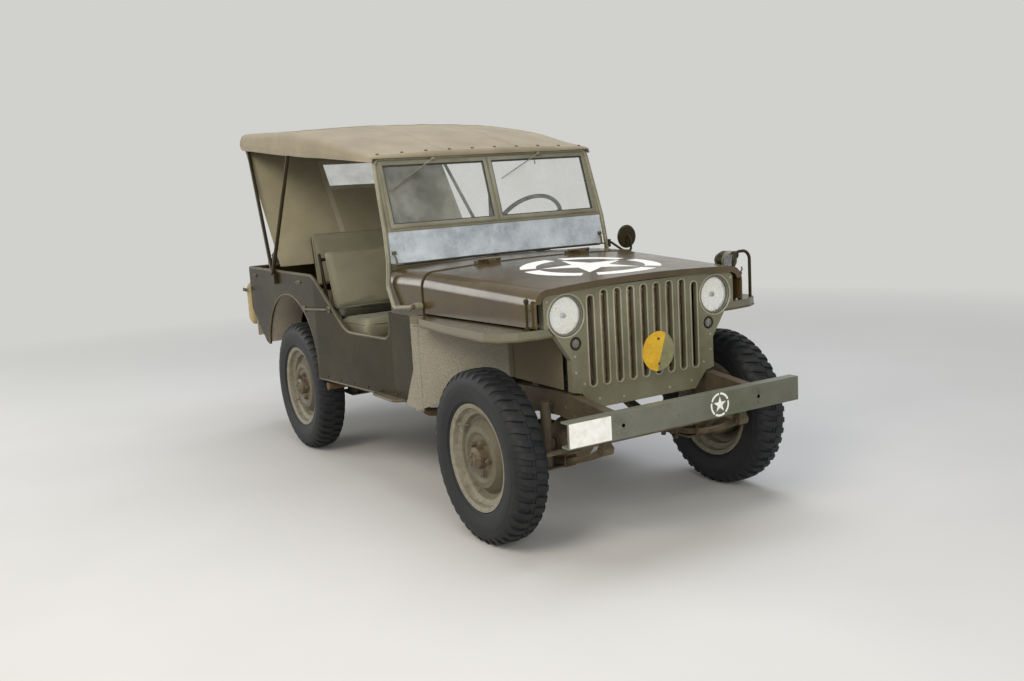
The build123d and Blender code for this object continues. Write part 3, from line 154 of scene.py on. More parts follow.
enamels = {  # brushed-on oil enamel: base, worn, dust colour, roughness, dust lies below this height, dust share, specular level
    "brushedOliveEnamel": ("#342e18", "#241f0d", "#6b614a", 0.26, 0.60, 0.14, 0.15),  # tub: dark, half-gloss brush strokes
    "polishedOliveEnamel": ("#53452b", "#3d321e", "#857b64", 0.18, 0.50, 0.12, 0.55),  # bonnet: the olive paint lightened and warmed as a painted warm reflection, with long soft highlights
    "greyOliveEnamel": ("#7b7964", "#615f4a", "#959079", 0.34, 0.60, 0.32, 0.26),  # grille: greyer and paler than the tub
    "chalkedOliveEnamel": ("#a19f8b", "#7d7a64", "#aca691", 0.34, 0.60, 0.32, 0.26),  # pressed edges and bolt heads painted paler than the grille
    "wornBrownEnamel": ("#5d563f", "#453f2b", "#867d66", 0.32, 0.60, 0.35, 0.26),  # small fittings: brown at the edges
    "fadedOliveEnamel": ("#6f7165", "#585a4a", "#918d7d", 0.32, 0.40, 0.45, 0.26),  # bumper and rings: grey-green, sun-faded
    "rustedChassisEnamel": ("#4a4234", "#322b20", "#84775f", 0.60, 0.72, 0.65, 0.26),  # frame rails: dull, rust showing through
    "paleOliveEnamel": ("#8a8878", "#6e6a58", "#a5a294", 0.36, 0.50, 0.32, 0.26),  # frames round the panes
    "dustyChassisEnamel": ("#564f3f", "#3e392d", "#837862", 0.70, 0.75, 1.00, 0.26),  # axles and springs under road dust
    "oiledCastIron": ("#494c40", "#34352b", "#6a6454", 0.58, 0.60, 0.50, 0.26),  # engine: dark green-grey with an oily film
}
# threads 0.6 mm apart are drawn four times as coarse, so that the weave shows; webbing's 1.5 mm ribs are drawn at twice that
cloths = {  # woven cotton: base, faded, stain colour, thread spacing drawn
    "wovenCottonDuck": ("#8c816b", "#9d927b", "#756a55", 0.0024),  # top: matt, pale where the sun reaches it
    "thinCottonDuck": ("#9f977c", "#aca48a", "#887f66", 0.0024),  # curtain: the top's duck painted lighter, as painted daylight coming through it
    "sewnSeatDuck": ("#83816c", "#92907a", "#6f6d5a", 0.0024),  # seats: grey-green, rubbed smooth
    "haversackCanvas": ("#9a8b63", "#ac9c74", "#7f724f", 0.0024),  # bag: yellower
    "wovenWebbing": ("#b3ab95", "#c4bda8", "#8f8872", 0.0030),  # straps: pale and ribbed
}
smallFinishes = {  # colour, roughness, metallic, second colour
    "mouldedEbonite": ("#23241f", 0.42, 0.0, "#34352e"),  # wheel rim, knobs, seals: near black, soft gloss
    "rustedForgedSteel": ("#51432f", 0.72, 0.5, "#6d543c"),  # bolts and hooks: brown bloom over dark metal
    "turnedBareSteel": ("#8b8a84", 0.34, 1.0, "#6f6d66"),  # screws: bright, faintly scratched
    "stencilledWhite": ("#f3f2ec", 0.48, 0.0, "#dedcd2"),  # oil paint, stars and panel: flat, a little worn
    "brushedYellow": ("#e2b62a", 0.45, 0.0, "#c89c22"),  # oil paint, the disc's left part: strong and even
    "brushedKhaki": ("#8b8760", 0.5, 0.0, "#767252"),  # oil paint, its right part: dull
    "brushedRed": ("#7f2a20", 0.55, 0.0, "#5b3327"),  # oil paint marking the greased bolts: dark, half rubbed off
    "silveredGlass": ("#e4e6e6", 0.04, 1.0, "#d6d8d8"),  # mirror: clear reflection
    "pressedAmberGlass": ("#b9873f", 0.25, 0.0, "#9c6c2c"),  # tail lamp's lower glass: deep and shiny
    "pressedRedGlass": ("#7c1d18", 0.25, 0.0, "#5e1411"),  # its upper glass
    "tannedLeather": ("#4d3a28", 0.55, 0.0, "#3a2b1d"),  # handle: dark with use
    "platedReflector": ("#fdfdf8", 0.24, 1.0, "#f6f0d8"),  # silvered brass bowl: bright, a little yellowed
    "stampedBrass": ("#96814a", 0.40, 1.0, "#6f5f36"),  # buckles: dull gold
    "solderedCore": ("#b9ae98", 0.65, 0.1, "#b08a68"),  # copper fins: dusty grey with rust, and painted paler as painted light in the shade behind the slots
}
glasses = {  # clear tint, film tint, share of light the film stops, its share at its thickest
    "platedScreenGlass": ("#9ea6a4", "#b9bcb2", 0.10, 0.26),  # drawn flat pane: clear under a hazy film
    "flutedLampGlass": ("#f6f9fc", "#eff3f4", 0.16, 0.30),  # pressed lens: bright, its flutes scatter the light
}
looks = {}
for name, (base, worn, dust, rough, top, share, gloss) in enamels.items():
    film = ("noise", 9.0, 8.0, 0.72, 0.30, 0.75)
    looks[name] = {
        "base": (base, rough - 0.06),
        "layers": [(worn, rough + 0.04, ("noise", 3.1, 5.0, 0.62, 0.38, 0.66)),
                   (worn, rough + 0.16, 0.35, ("noise", 14.0, 6.0, 0.70, 0.35, 0.70)),
                   ("#9b9380", rough + 0.1, 0.30, ("noise", 62.0, 6.0, 0.70, 0.66, 0.72)),  # chips and scuffs a few millimetres across
                   (dust, rough + 0.35, share, ("z", top, top - 0.35), film),  # dust low down, and thinner on what lies flat
                   (dust, rough + 0.20, share * 0.3, ("up", 0.55, 1.0), film)],
        "bumps": [(0.14, 0.002, "noise", 24.0, 6.0, 0.6), (0.10, 0.0008, "noise", 420.0, 2.0, 0.55)],
        "sockets": {"Specular IOR Level": gloss},
    }
for name, (base, faded, stain, spacing) in cloths.items():
    looks[name] = {
        "base": (base, 0.92),
        "layers": [(faded, 0.92, ("noise", 4.0, 6.0, 0.60, 0.35, 0.68)),
                (stain, 0.94, 0.4, ("noise", 11.0, 8.0, 0.70, 0.55, 0.80)), (stain, 0.94, 0.22, ("weave", spacing, 0.8, 2.2))],
        "bumps": [(0.35, 0.006, "noise", 13.0, 5.0, 0.55), (0.25, 0.0006, "weave", spacing)],
        "sockets": {"Specular IOR Level": 0.25, "Sheen Weight": 0.12},
    }
for name, (base, rough, metallic, second) in smallFinishes.items():
    looks[name] = {"base": (base, rough - 0.04), "layers": [(second, rough + 0.08, ("noise", 30.0, 6.0, 0.65, 0.38, 0.68))],
        "bumps": [(0.08, 0.001, "noise", 240.0, 4.0, 0.55)], "sockets": {"Metallic": metallic}}
for name, (tint, filmTint, thin, thick) in glasses.items():
    looks[name] = {"base": (tint, 0.05), "layers": [(filmTint, 0.05, ("noise", 7.0, 6.0, 0.62, 0.36, 0.68))], "bumps": [],
        "film": (thin, thick),
               "sockets": {"Specular IOR Level": 1.0, "Coat Weight": 1.0}}

# moulded natural rubber: blue-black and matt, dust caught in its grain
looks["mouldedRubber"] = {
    "base": ("#181a1d", 0.58),
    "layers": [("#3a3833", 0.85, 0.4, ("noise", 18.0, 8.0, 0.72, 0.42, 0.78))],
    "bumps": [(0.20, 0.001, "noise", 190.0, 4.0, 0.6)],
    "sockets": {"Specular IOR Level": 0.3},
}
# road mud dried on the fenders' aprons: matt beige thick with grit a few millimetres across, darker ahead; enamel shows above it
grit, clean, ahead = ("noise", 260.0, 5.0, 0.75, 0.36, 0.64), ("z", 0.8425, 0.8440), ("x", 0.955, 0.970)
looks["driedRoadMud"] = {
    "base": ("#5f5b4f", 0.93),
    "layers": [("#aea897", 0.93, grit), ("#8c8471", 0.93, 0.5, ("noise", 12.0, 7.0, 0.70, 0.36, 0.66)),
            ("#403928", 0.93, ahead), ("#7d715b", 0.93, ahead, grit),
               ("#3c3521", 0.24, clean), ("#4f4630", 0.28, clean, ("noise", 5.0, 6.0, 0.65, 0.36, 0.66)),
               ("#6d6a57", 0.30, clean, ("up", 0.75, 0.45))],
    "bumps": [(0.35, 0.002, "noise", 300.0, 6.0, 0.75)],
    "sockets": {"Specular IOR Level": 0.36},
}
# enamel painted blue-white below the panes as a painted reflection of the sky, in patches; khaki round them and on the
# legs, lighter in the same patches
sheenPatches, frames, legs = ("noise", 6.0, 7.0, 0.68, 0.34, 0.66), ("z", 1.2395, 1.2420), ("across", 0.6020, 0.6045)
looks["sheenPaintedEnamel"] = {
    "base": ("#97a1a8", 0.20),
    "layers": [("#ccd4da", 0.38, sheenPatches), ("#6a6656", 0.36, 0.5, ("noise", 34.0, 5.0, 0.70, 0.56, 0.74)),
               ("#6d6953", 0.30, frames), ("#87836d", 0.36, frames, sheenPatches), ("#6d6953", 0.30, legs),
               ("#87836d", 0.36, legs, sheenPatches)],
    "bumps": [(0.22, 0.004, "noise", 9.0, 5.0, 0.55)],
}
# rim enamel under pale dust on the flange, darker on the disc, oily round the hub
grime, flange, hub = ("noise", 38.0, 8.0, 0.75, 0.36, 0.66), ("radius", 0.150, 0.176), ("radius", 0.088, 0.070)
looks["dustyRimEnamel"] = {
    "base": ("#4b4635", 0.45),
    "layers": [("#665f4b", 0.72, grime), ("#676252", 0.45, flange), ("#8c8674", 0.74, flange, grime), ("#453b2c", 0.42, hub),
            ("#655843", 0.66, hub, grime)],
    "bumps": [(0.25, 0.002, "noise", 120.0, 6.0, 0.7)],
}
# floor enamel scuffed matt inside, splashed beige under the floor and in the wheel arches
splash, arch, side, under = ("noise", 180.0, 6.0, 0.75, 0.36, 0.64), ("across", 0.5165, 0.5185), ("up", 0.75,
        0.55), ("up", -0.5, -0.7)
looks["scuffedFloorEnamel"] = {
    "base": ("#4b4732", 0.70),
    "layers": [("#5f5943", 0.74, ("noise", 5.0, 6.0, 0.65, 0.36, 0.66)), ("#83796a", 0.80, arch, side),
            ("#b3a897", 0.86, arch, side, splash), ("#83796a", 0.80, under), ("#b3a897", 0.86, under, splash)],
    "bumps": [(0.25, 0.002, "noise", 200.0, 6.0, 0.7)],
}
finish = {name: makeFinish(name, look) for name, look in looks.items()}
print("finishes made")

nodeFinish = {
    "brushedOliveEnamel": ["body_sides", "rear_panel", "lamps", "hood_catches", "top_bows", "steering_column",
            "driver_seat_frame", "passenger_seat_frame",
                  "rear_seat_frame", "rear_seat_back", "mirror", "fuel_tank"],
    "scuffedFloorEnamel": ["body_floor"],
    # bonnet and cowl: olive paint with a painted warm reflection in its colour
    "polishedOliveEnamel": ["hood", "cowl"],
    "greyOliveEnamel": ["grille"],
    "fadedOliveEnamel": ["front_bumper"],
    "rustedChassisEnamel": ["frame", "rear_bumperettes", "suspension"],
    "dustyChassisEnamel": ["front_axle", "rear_axle", "knuckle_left", "knuckle_right", "tie_rod", "drive_shafts"],
    "oiledCastIron": ["power_unit"],
    "solderedCore": ["radiator"],
    "rustedForgedSteel": ["exhaust"],
    # the windscreen frame: its blue-white below the panes is a painted reflection
    "sheenPaintedEnamel": ["windscreen_frame"],
    "dustyRimEnamel": ["wheel_front_left", "wheel_front_right", "wheel_rear_left", "wheel_rear_right", "spare_rim"],
    "driedRoadMud": ["front_fenders"],
    "platedScreenGlass": ["windscreen_glass"],
    "flutedLampGlass": ["lamp_lenses"],
    "mouldedEbonite": ["steering_wheel"],
    "mouldedRubber": ["tyre_front_left", "tyre_front_right", "tyre_rear_left", "tyre_rear_right", "spare_tyre"],
    "wovenCottonDuck": ["canvas_top"],
    "thinCottonDuck": ["rear_curtain"],
    "sewnSeatDuck": ["driver_cushions", "passenger_cushions", "rear_seat_cushion", "rear_back_pad"],
    "haversackCanvas": ["canvas_bag"],
}
for finishName, names in nodeFinish.items():
    for name in names:
        mesh = nodes[name].data
        mesh.materials.clear()
        mesh.materials.append(finish[finishName])
print("nodes painted")

# building meshes


def meshOf(bm, name="scratch"):
    bmesh.ops.remove_doubles(bm, verts=bm.verts, dist=1e-6)
    bmesh.ops.recalc_face_normals(bm, faces=bm.faces)
    return rawMesh(bm, name)


def rawMesh(bm, name):
    mesh = bpy.data.meshes.new(name)
    bm.to_mesh(mesh)
    bm.free()
    return mesh


def finishPiece(name, bm, look, node, sharp=35.0):
    return dressPiece(name, meshOf(bm, name), look, node, sharp)


def dressPiece(name, mesh, look, node, sharp=35.0):
    # the piece rides with the CAD node that carries it
    mesh.name = name
    mesh.materials.clear()
    mesh.materials.append(finish[look])
    mesh.shade_smooth()
    mesh.set_sharp_from_angle(angle=radians(sharp))
    piece = helperObject(name, mesh)
    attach(piece, nodeBody[node])
    return piece


def helperObject(name, mesh):
    helper = bpy.data.objects.new(name, mesh)
    bpy.context.scene.collection.objects.link(helper)
    return helper


def unitAcross(direction):
    direction = direction.normalized()
    helper = Vector((0, 0, 1)) if abs(direction.z) < 0.9 else Vector((1, 0, 0))
    first = direction.cross(helper).normalized()
    return first, direction.cross(first).normalized()


def rounded(points, radius, steps=5):
    # a path with its corners turned
    points = [Vector(p) for p in points]
    result = [points[0]]
    for before, corner, after in zip(points, points[1:], points[2:]):
        first, second = (before - corner).normalized(), (after - corner).normalized()
        angle = first.angle(second, pi)
        if angle > pi - 0.02:
            result.append(corner)
            continue
        reach = min(radius / tan(angle / 2), (before - corner).length * 0.49, (after - corner).length * 0.49)
        start, end = corner + first * reach, corner + second * reach
        for i in range(steps + 1):
            t = i / steps
            result.append(start.lerp(corner, t).lerp(corner.lerp(end, t), t))
    result.append(points[-1])
    return result


def joinRings(bm, rings, closed=True):
    # faces from each ring to the next, all the way round where the rings are closed
    for low, high in zip(rings, rings[1:]):
        for k in range(len(low) if closed else len(low) - 1):
            after = (k + 1) % len(low)
            bm.faces.new((low[k], low[after], high[after], high[k]))


def capEnds(bm, rings):
    bm.faces.new(reversed(rings[0]))
    bm.faces.new(rings[-1])


def addTube(bm, points, radius, sides=12, closed=False):
    points = [Vector(p) for p in points]
    count = len(points)
    rings = []
    first = unitAcross(points[1] - points[0])[0]
    for i, point in enumerate(points):
        before = points[i - 1] if i or closed else None
        after = points[(i + 1) % count] if i < count - 1 or closed else None
        came = (point - before).normalized() if before is not None else (after - point).normalized()
        goes = (after - point).normalized() if after is not None else came
        along = (came + goes).normalized()
        first = (first - along * first.dot(along)).normalized()
        second = along.cross(first)
        stretch = 1 / max(cos(came.angle(goes, 0.0) / 2), 0.5)
        bend = (goes - came).normalized() if (goes - came).length > 1e-6 else None
        ring = []
        for k in range(sides):
            turn = 2 * pi * k / sides
            offset = (first * cos(turn) + second * sin(turn)) * radius
            if bend is not None:
                offset += bend * offset.dot(bend) * (stretch - 1)
            ring.append(bm.verts.new(point + offset))
        rings.append(ring)
    joinRings(bm, rings + rings[:1] if closed else rings)
    if not closed:
        capEnds(bm, rings)


def addTurned(bm, profile, place, axis, sides=32):
    # profile rows: distance along the axis, radius
    axis = Vector(axis).normalized()
    first, second = unitAcross(axis)
    place = Vector(place)
    rings = []
    for along, radius in profile:
        if radius < 1e-7:
            rings.append([bm.verts.new(place + axis * along)])
        else:
            turns = [2 * pi * k / sides for k in range(sides)]
            rings.append([bm.verts.new(place + axis * along + (first * cos(a) + second * sin(a)) * radius) for a in turns])
    for low, high in zip(rings, rings[1:]):
        for k in range(sides):
            after = (k + 1) % sides
            corners = [low[k % len(low)], low[after % len(low)], high[after % len(high)], high[k % len(high)]]
            unique = []
            for vert in corners:
                if vert not in unique:
                    unique.append(vert)
            if len(unique) > 2:
                bm.faces.new(unique)
    return rings


def addBlock(bm, start, end, bevel=0.0015, turn=None):
    # box between two opposite corners
    start, end = Vector(start), Vector(end)
    verts = bmesh.ops.create_cube(bm, size=1.0)["verts"]
    size = [abs(a - b) for a, b in zip(start, end)]
    for vert in verts:
        vert.co = Vector([c * d for c, d in zip(vert.co, size)]) + (start + end) / 2
        if turn:
            vert.co = turn @ vert.co
    if bevel:
        edges = {edge for vert in verts for edge in vert.link_edges}
        bmesh.ops.bevel(bm, geom=list(edges), offset=bevel, segments=2, profile=0.5, affect="EDGES", clamp_overlap=True)


def addStrap(bm, points, across, width, thick):
    # flat strap along points, its width along across
    points = [Vector(p) for p in points]
    across = Vector(across).normalized()
    rings = []
    for i, point in enumerate(points):
        before = points[max(i - 1, 0)]
        after = points[min(i + 1, len(points) - 1)]
        along = (after - before).normalized()
        side = (across - along * across.dot(along)).normalized()
        up = along.cross(side).normalized()
        rings.append([bm.verts.new(point + side * sx * width / 2 + up * sy * thick / 2) for sx, sy in ((-1, -1), (1, -1),
            (1, 1), (-1, 1))])
    joinRings(bm, rings)
    capEnds(bm, rings)


def addPlate(bm, outline, normal, thick):
    # flat plate from its outline, thickened along normal
    normal = Vector(normal).normalized() * thick
    low = [bm.verts.new(Vector(p)) for p in outline]
    high = [bm.verts.new(Vector(p) + normal) for p in outline]
    capEnds(bm, [low, high])
    joinRings(bm, [low, high])


# geometry nodes for what repeats


def openTree(name, inputs):
    # a tree and its named inputs: label, socket type, first value
    tree = bpy.data.node_groups.new(name, "GeometryNodeTree")
    for way in ("INPUT", "OUTPUT"):
        tree.interface.new_socket("Geometry", in_out=way, socket_type="NodeSocketGeometry")
    for label, kind, value in inputs + [("Material", "Material", None)]:
        socket = tree.interface.new_socket(label, in_out="INPUT", socket_type="NodeSocket" + kind)
        if value is not None:
            socket.default_value = value
    return tree, addNode(tree, "NodeGroupInput").node.outputs


def closeTree(tree, put, parts, base=None):
    # instances made real, joined to what they stand on, and painted
    real = addNode(tree, "GeometryNodeRealizeInstances", {0: parts})
    if base is not None:
        real = addNode(tree, "GeometryNodeJoinGeometry", {0: real})
        tree.links.new(base, real.node.inputs[0])
    addNode(tree, "NodeGroupOutput", {0: addNode(tree, "GeometryNodeSetMaterial",
        {"Geometry": real, "Material": put["Material"]})})
    return tree


def settled(base, modifier):
    # the evaluated result as a plain mesh; the helper object goes
    mesh = bpy.data.meshes.new_from_object(base.evaluated_get(bpy.context.evaluated_depsgraph_get()))
    base.modifiers.remove(modifier)
    bpy.data.objects.remove(base)
    return mesh


def grown(name, mesh, tree, look, values):
    # the tree run on a mesh, its inputs set by their identifiers
    base = helperObject(name, mesh)
    modifier = base.modifiers.new(name, "NODES")
    modifier.node_group = tree
    values = dict(values, Material=finish[look])
    for item in tree.interface.items_tree:
        if item.in_out == "INPUT" and item.name in values:
            modifier[item.identifier] = values[item.name]
    return settled(base, modifier)


def makeStudTree():
    # a small head on each point, its axis along the point's facing attribute
    tree, put = openTree("studs", [("Head Radius", "Float", 0.006), ("Head Height", "Float", 0.003), ("Corners", "Int", 12),
        ("Roundness", "Float", 0.6)])
    facing = addNode(tree, "GeometryNodeInputNamedAttribute", {"Name": "facing"}, "Attribute", data_type="FLOAT_VECTOR")
    half = addNode(tree, "ShaderNodeMath", {0: put["Head Height"], 1: 0.5}, operation="MULTIPLY")
    shrunk = addNode(tree, "ShaderNodeMath", {0: put["Head Radius"], 1: put["Roundness"]}, operation="MULTIPLY")
    foot = addNode(tree, "GeometryNodeMeshCylinder",
        {"Side Segments": 1, "Vertices": put["Corners"], "Radius": put["Head Radius"], "Depth": put["Head Height"]})
    cap = addNode(tree, "GeometryNodeMeshCone", {"Side Segments": 2, "Fill Segments": 1, "Vertices": put["Corners"],
        "Radius Bottom": put["Head Radius"], "Radius Top": shrunk, "Depth": half})
    lifted = addNode(tree, "GeometryNodeTransform",
        {"Geometry": cap, "Translation": addNode(tree, "ShaderNodeCombineXYZ", {"Z": half})})
    head = addNode(tree, "GeometryNodeJoinGeometry", {0: foot})
    tree.links.new(lifted, head.node.inputs[0])
    points = addNode(tree, "GeometryNodeMeshToPoints", {"Mesh": put["Geometry"]})
    turn = addNode(tree, "FunctionNodeAlignRotationToVector", {"Vector": facing}, axis="Z")
    return closeTree(tree, put, addNode(tree, "GeometryNodeInstanceOnPoints",
        {"Points": points, "Instance": head, "Rotation": turn}))


studTree = makeStudTree()


def addStuds(name, rows, look, node, radius=0.006, height=0.003, corners=12, roundness=0.6):
    # rows: (place, facing)
    mesh = bpy.data.meshes.new(name)
    mesh.from_pydata([tuple(place) for place, facing in rows], [], [])
    facings = mesh.attributes.new("facing", "FLOAT_VECTOR", "POINT")
    for i, (place, facing) in enumerate(rows):
        facings.data[i].vector = Vector(facing).normalized()
    mesh = grown(name, mesh, studTree, look, {"Head Radius": radius, "Head Height": height, "Corners": corners,
        "Roundness": roundness})
    return dressPiece(name, mesh, look, node, 28.0)


def makeRingTree():
    # the part copied round the Y axis, a set number of times
    tree, put = openTree("ringOfParts", [("Count", "Int", 5), ("Part", "Object", None)])
    part = addNode(tree, "GeometryNodeObjectInfo", {"Object": put["Part"]}, "Geometry")
    step = addNode(tree, "ShaderNodeMath", {0: 2 * pi, 1: put["Count"]}, operation="DIVIDE")
    angle = addNode(tree, "ShaderNodeMath", {0: addNode(tree, "GeometryNodeInputIndex"), 1: step}, operation="MULTIPLY")
    points = addNode(tree, "GeometryNodePoints", {"Count": put["Count"]})
    placed = addNode(tree, "GeometryNodeInstanceOnPoints",
        {"Points": points, "Instance": part, "Rotation": addNode(tree, "ShaderNodeCombineXYZ", {"Y": angle})})
    return closeTree(tree, put, placed, put["Geometry"])


ringTree = makeRingTree()


def ringOf(name, core, part, count, look):
    # core mesh with count copies of the part mesh round the Y axis
    helper = helperObject(name + "Part", part)
    mesh = grown(name, core, ringTree, look, {"Count": count, "Part": helper})
    bpy.data.objects.remove(helper)
    return mesh


def walled(bm, name, thick, offset=-1.0):
    # an open sheet given its thickness; offset -1 grows away from the normals
    base = helperObject(name, rawMesh(bm, name))
    modifier = base.modifiers.new("wall", "SOLIDIFY")
    modifier.thickness, modifier.offset = thick, offset
    return settled(base, modifier)


print("kit ready")


# tyres and wheels

# CAD suffix: axle's place, side, turn about the axle so that no two stand alike
wheels = {"front_left": (1.162, 1, 0.3), "front_right": (1.162, -1, 0.9), "rear_left": (-0.870, 1, 1.7),
        "rear_right": (-0.870, -1, 2.2)}
wheelPlace = {"halfTrack": 0.6225, "axle": 0.358}
spare = {"x": -1.606, "y": -0.240, "z": 0.850}
tyre = {
    "bars": 44,  # bars on each half of the tread
    "barTop": 0.0290,  # width of a bar at its top
    "barFoot": 0.0350,
    "depth": 0.0095,  # depth of the grooves
    "lean": 0.020,  # how far a bar runs round from centre to shoulder
    # distance out, radius of the bars' tops; the last rows run into the side
    "crown": [(0.0015, 0.3578), (0.018, 0.3574), (0.036, 0.3562), (0.050, 0.3538), (0.0600, 0.3475), (0.0670, 0.3385),
            (0.0725, 0.3265), (0.0752, 0.3180)],
    "share": [0.0, 0.22, 0.45, 0.66, 0.82, 0.92, 0.98, 1.0],
    # the carcass: rim seat, bead, side with its two fine rings, shoulder, tread base
    "side": [(0.0565, 0.2100), (0.0565, 0.2215), (0.0590, 0.2245), (0.0630, 0.2270), (0.0655, 0.2330), (0.0690, 0.2345),
            (0.0700, 0.2375), (0.0712, 0.2440),
             (0.0760, 0.2600), (0.0788, 0.2760), (0.0795, 0.2860), (0.0790, 0.2960), (0.0796, 0.2966), (0.0796, 0.2984),
             (0.0784, 0.2992), (0.0772, 0.3080),
             (0.0758, 0.3160), (0.0735, 0.3220), (0.0690, 0.3290), (0.0620, 0.3370), (0.0500, 0.3435), (0.0300, 0.3475),
             (0.0120, 0.3486), (0.0100, 0.3530),
             (0.0040, 0.3536), (0.0, 0.3536)],
}


def tyreBar():
    bm = bmesh.new()
    halfPitch = pi / tyre["bars"]
    for side in (1, -1):
        rows = []
        for (out, radius), share in zip(tyre["crown"], tyre["share"]):
            shift = tyre["lean"] * share ** 1.3
            fade = min(1.0, (tyre["crown"][-1][0] - out) / 0.006 + 0.15)
            deep = tyre["depth"] * max(fade, 0.25) + 0.004
            row = []
            # normal in the section: straight out at the crown, leaning to the side at the shoulder
            tilt = max(0.0, (out - 0.046) / 0.030) * 1.15
            for halfWidth, down in ((tyre["barFoot"] / 2, deep), (tyre["barTop"] / 2, 0.0012),
                (tyre["barTop"] / 2 - 0.0015, 0.0), (-tyre["barTop"] / 2 + 0.0015, 0.0),
                                (-tyre["barTop"] / 2, 0.0012), (-tyre["barFoot"] / 2, deep)):
                narrow = 1.0 - 0.22 * share
                around = halfWidth * narrow + shift
                r = radius - down * cos(tilt)
                y = out - down * sin(tilt)
                angle = around / 0.358 if side > 0 else halfPitch - around / 0.358
                row.append(bm.verts.new((sin(angle) * r, y * side, cos(angle) * r)))
            rows.append(row)
        joinRings(bm, rows, closed=False)
        bm.faces.new(rows[0])
        bm.faces.new(rows[-1])
    return meshOf(bm)


def tyreMesh():
    bm = bmesh.new()
    section = tyre["side"] + [(-out, radius) for out, radius in reversed(tyre["side"][:-1])]
    # the ring closes on itself across the rim seat
    rings = addTurned(bm, section, (0, 0, 0), (0, 1, 0), 96)
    joinRings(bm, [rings[-1], rings[0]])
    return ringOf("tyre", meshOf(bm), tyreBar(), tyre["bars"], "mouldedRubber")


def placedCopy(mesh, turn):
    copy = mesh.copy()
    copy.transform(turn)
    return copy


def wheelTurn(x, side, roll):
    face = Matrix.Identity(4) if side > 0 else Matrix.Rotation(pi, 4, "Z")
    return Matrix.Translation((x, side * wheelPlace["halfTrack"], wheelPlace["axle"])) @ face @ Matrix.Rotation(roll, 4, "Y")


spareTurn = Matrix.Translation((spare["x"], spare["y"], spare["z"])) @ Matrix.Rotation(pi / 2, 4,
        "Z") @ Matrix.Rotation(0.35, 4, "Y")
wheelNut = {"count": 5, "circle": 0.06985, "across": 0.0115, "tall": 0.016, "face": 0.036}


def nutMesh():
    # cone seat, hexagon and the stud's end; axis along Y
    bm = bmesh.new()
    high, tall, across = wheelNut["face"], wheelNut["tall"], wheelNut["across"]
    place = (0, high, wheelNut["circle"])
    addTurned(bm, [(-0.001, 0), (-0.001, across * 1.15), (0.003, across * 1.12), (0.004, across), (0.004, 0)], place,
        (0, 1, 0), 18)
    addTurned(bm, [(0.003, 0), (0.003, across), (tall - 0.002, across), (tall, across * 0.8), (tall, 0)], place, (0, 1, 0), 6)
    addTurned(bm, [(tall - 0.002, 0.0062), (tall + 0.004, 0.0062), (tall + 0.005, 0.005), (tall + 0.005, 0)], place,
        (0, 1, 0), 12)
    return meshOf(bm)


def hubMesh():
    # axle flange with its six small bolts and a domed cap
    bm = bmesh.new()
    addTurned(bm, [(0.0725, 0.0), (0.0735, 0.008), (0.0735, 0.0265), (0.0722, 0.0300), (0.0640, 0.0305), (0.0640, 0.0)],
        (0, 0, 0), (0, 1, 0), 36)
    for k in range(6):
        angle = pi * (k + 0.5) / 3
        place = (sin(angle) * 0.0215, 0.0725, cos(angle) * 0.0215)
        addTurned(bm, [(0.0, 0.0052), (0.0045, 0.0052), (0.0055, 0.0040), (0.0055, 0)], place, (0, 1, 0), 6)
    # tyre valve through the disc
    addTube(bm, [(0.0, 0.010, 0.168), (0.0, 0.030, 0.172), (0.0, 0.046, 0.180)], 0.0042, 10)
    addTube(bm, [(0.0, 0.044, 0.179), (0.0, 0.056, 0.1845)], 0.0054, 10)
    return meshOf(bm)


wholeTyre = tyreMesh()
wheelFittings = ringOf("wheelFittings", hubMesh(), nutMesh(), wheelNut["count"], "dustyRimEnamel")
for suffix, row in wheels.items():
    node = "tyre_" + suffix
    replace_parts(dressPiece("treadedTyre_" + suffix, placedCopy(wholeTyre, wheelTurn(*row)), "mouldedRubber", node,
        30.0), node)
    dressPiece("wheelNuts_" + suffix, placedCopy(wheelFittings, wheelTurn(*row)), "dustyRimEnamel", node, 30.0)
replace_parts(dressPiece("treadedTyre_spare", placedCopy(wholeTyre, spareTurn), "mouldedRubber", "spare_tyre",
        30.0), "spare_tyre")
print("tyres and wheel nuts made")

# canvas top


def smoothStep(t):
    return t * t * (3 - 2 * t)


topCanvas = {
    # x, half width, edge height, crown, hem height, corner radius; front rail to rear bow
    "sections": [(0.212, 0.618, 1.593, 0.012, 1.563, 0.020), (-0.010, 0.632, 1.636, 0.030, 1.582, 0.034),
            (-0.238, 0.645, 1.692, 0.038, 1.602, 0.046),
                 (-0.540, 0.654, 1.738, 0.030, 1.622, 0.050), (-0.833, 0.657, 1.776, 0.018, 1.643, 0.050),
                 (-1.250, 0.656, 1.792, 0.012, 1.680, 0.050),
                 (-1.560, 0.656, 1.808, 0.013, 1.702, 0.046), (-1.645, 0.654, 1.811, 0.013, 1.712, 0.042),
                 (-1.674, 0.648, 1.800, 0.012, 1.722, 0.040)],
    "rows": 84,
    "steps": (8, 7, 44),  # round the section: side, corner, top
    "thick": 0.0022,
    "seams": (-0.21, 0.21),  # where the three lengths of duck are joined, as shares of the width
    "tubeTop": 1.5815,  # how far down the front edge is turned
    "flat": (1.55, 1.94),
    "area": 2.79,
}


def sectionAt(x):
    rows = topCanvas["sections"]
    for (x0, *first), (x1, *second) in zip(rows, rows[1:]):
        if x <= x0 and x >= x1 - 1e-9:
            t = (x0 - x) / (x0 - x1)
            return [a + (b - a) * t for a, b in zip(first, second)]
    return list(rows[-1][1:] if x < rows[-1][0] else rows[0][1:])


def evenedSection(x):
    # a running mean over a hand's width rounds the bends between the sections
    span = 0.085
    low, high = topCanvas["sections"][-1][0], topCanvas["sections"][0][0]
    near = min(span, high - x, x - low)
    places = [x + near * k / 4 for k in range(-4, 5)]
    values = [sectionAt(place) for place in places]
    return [sum(column) / len(column) for column in zip(*values)]


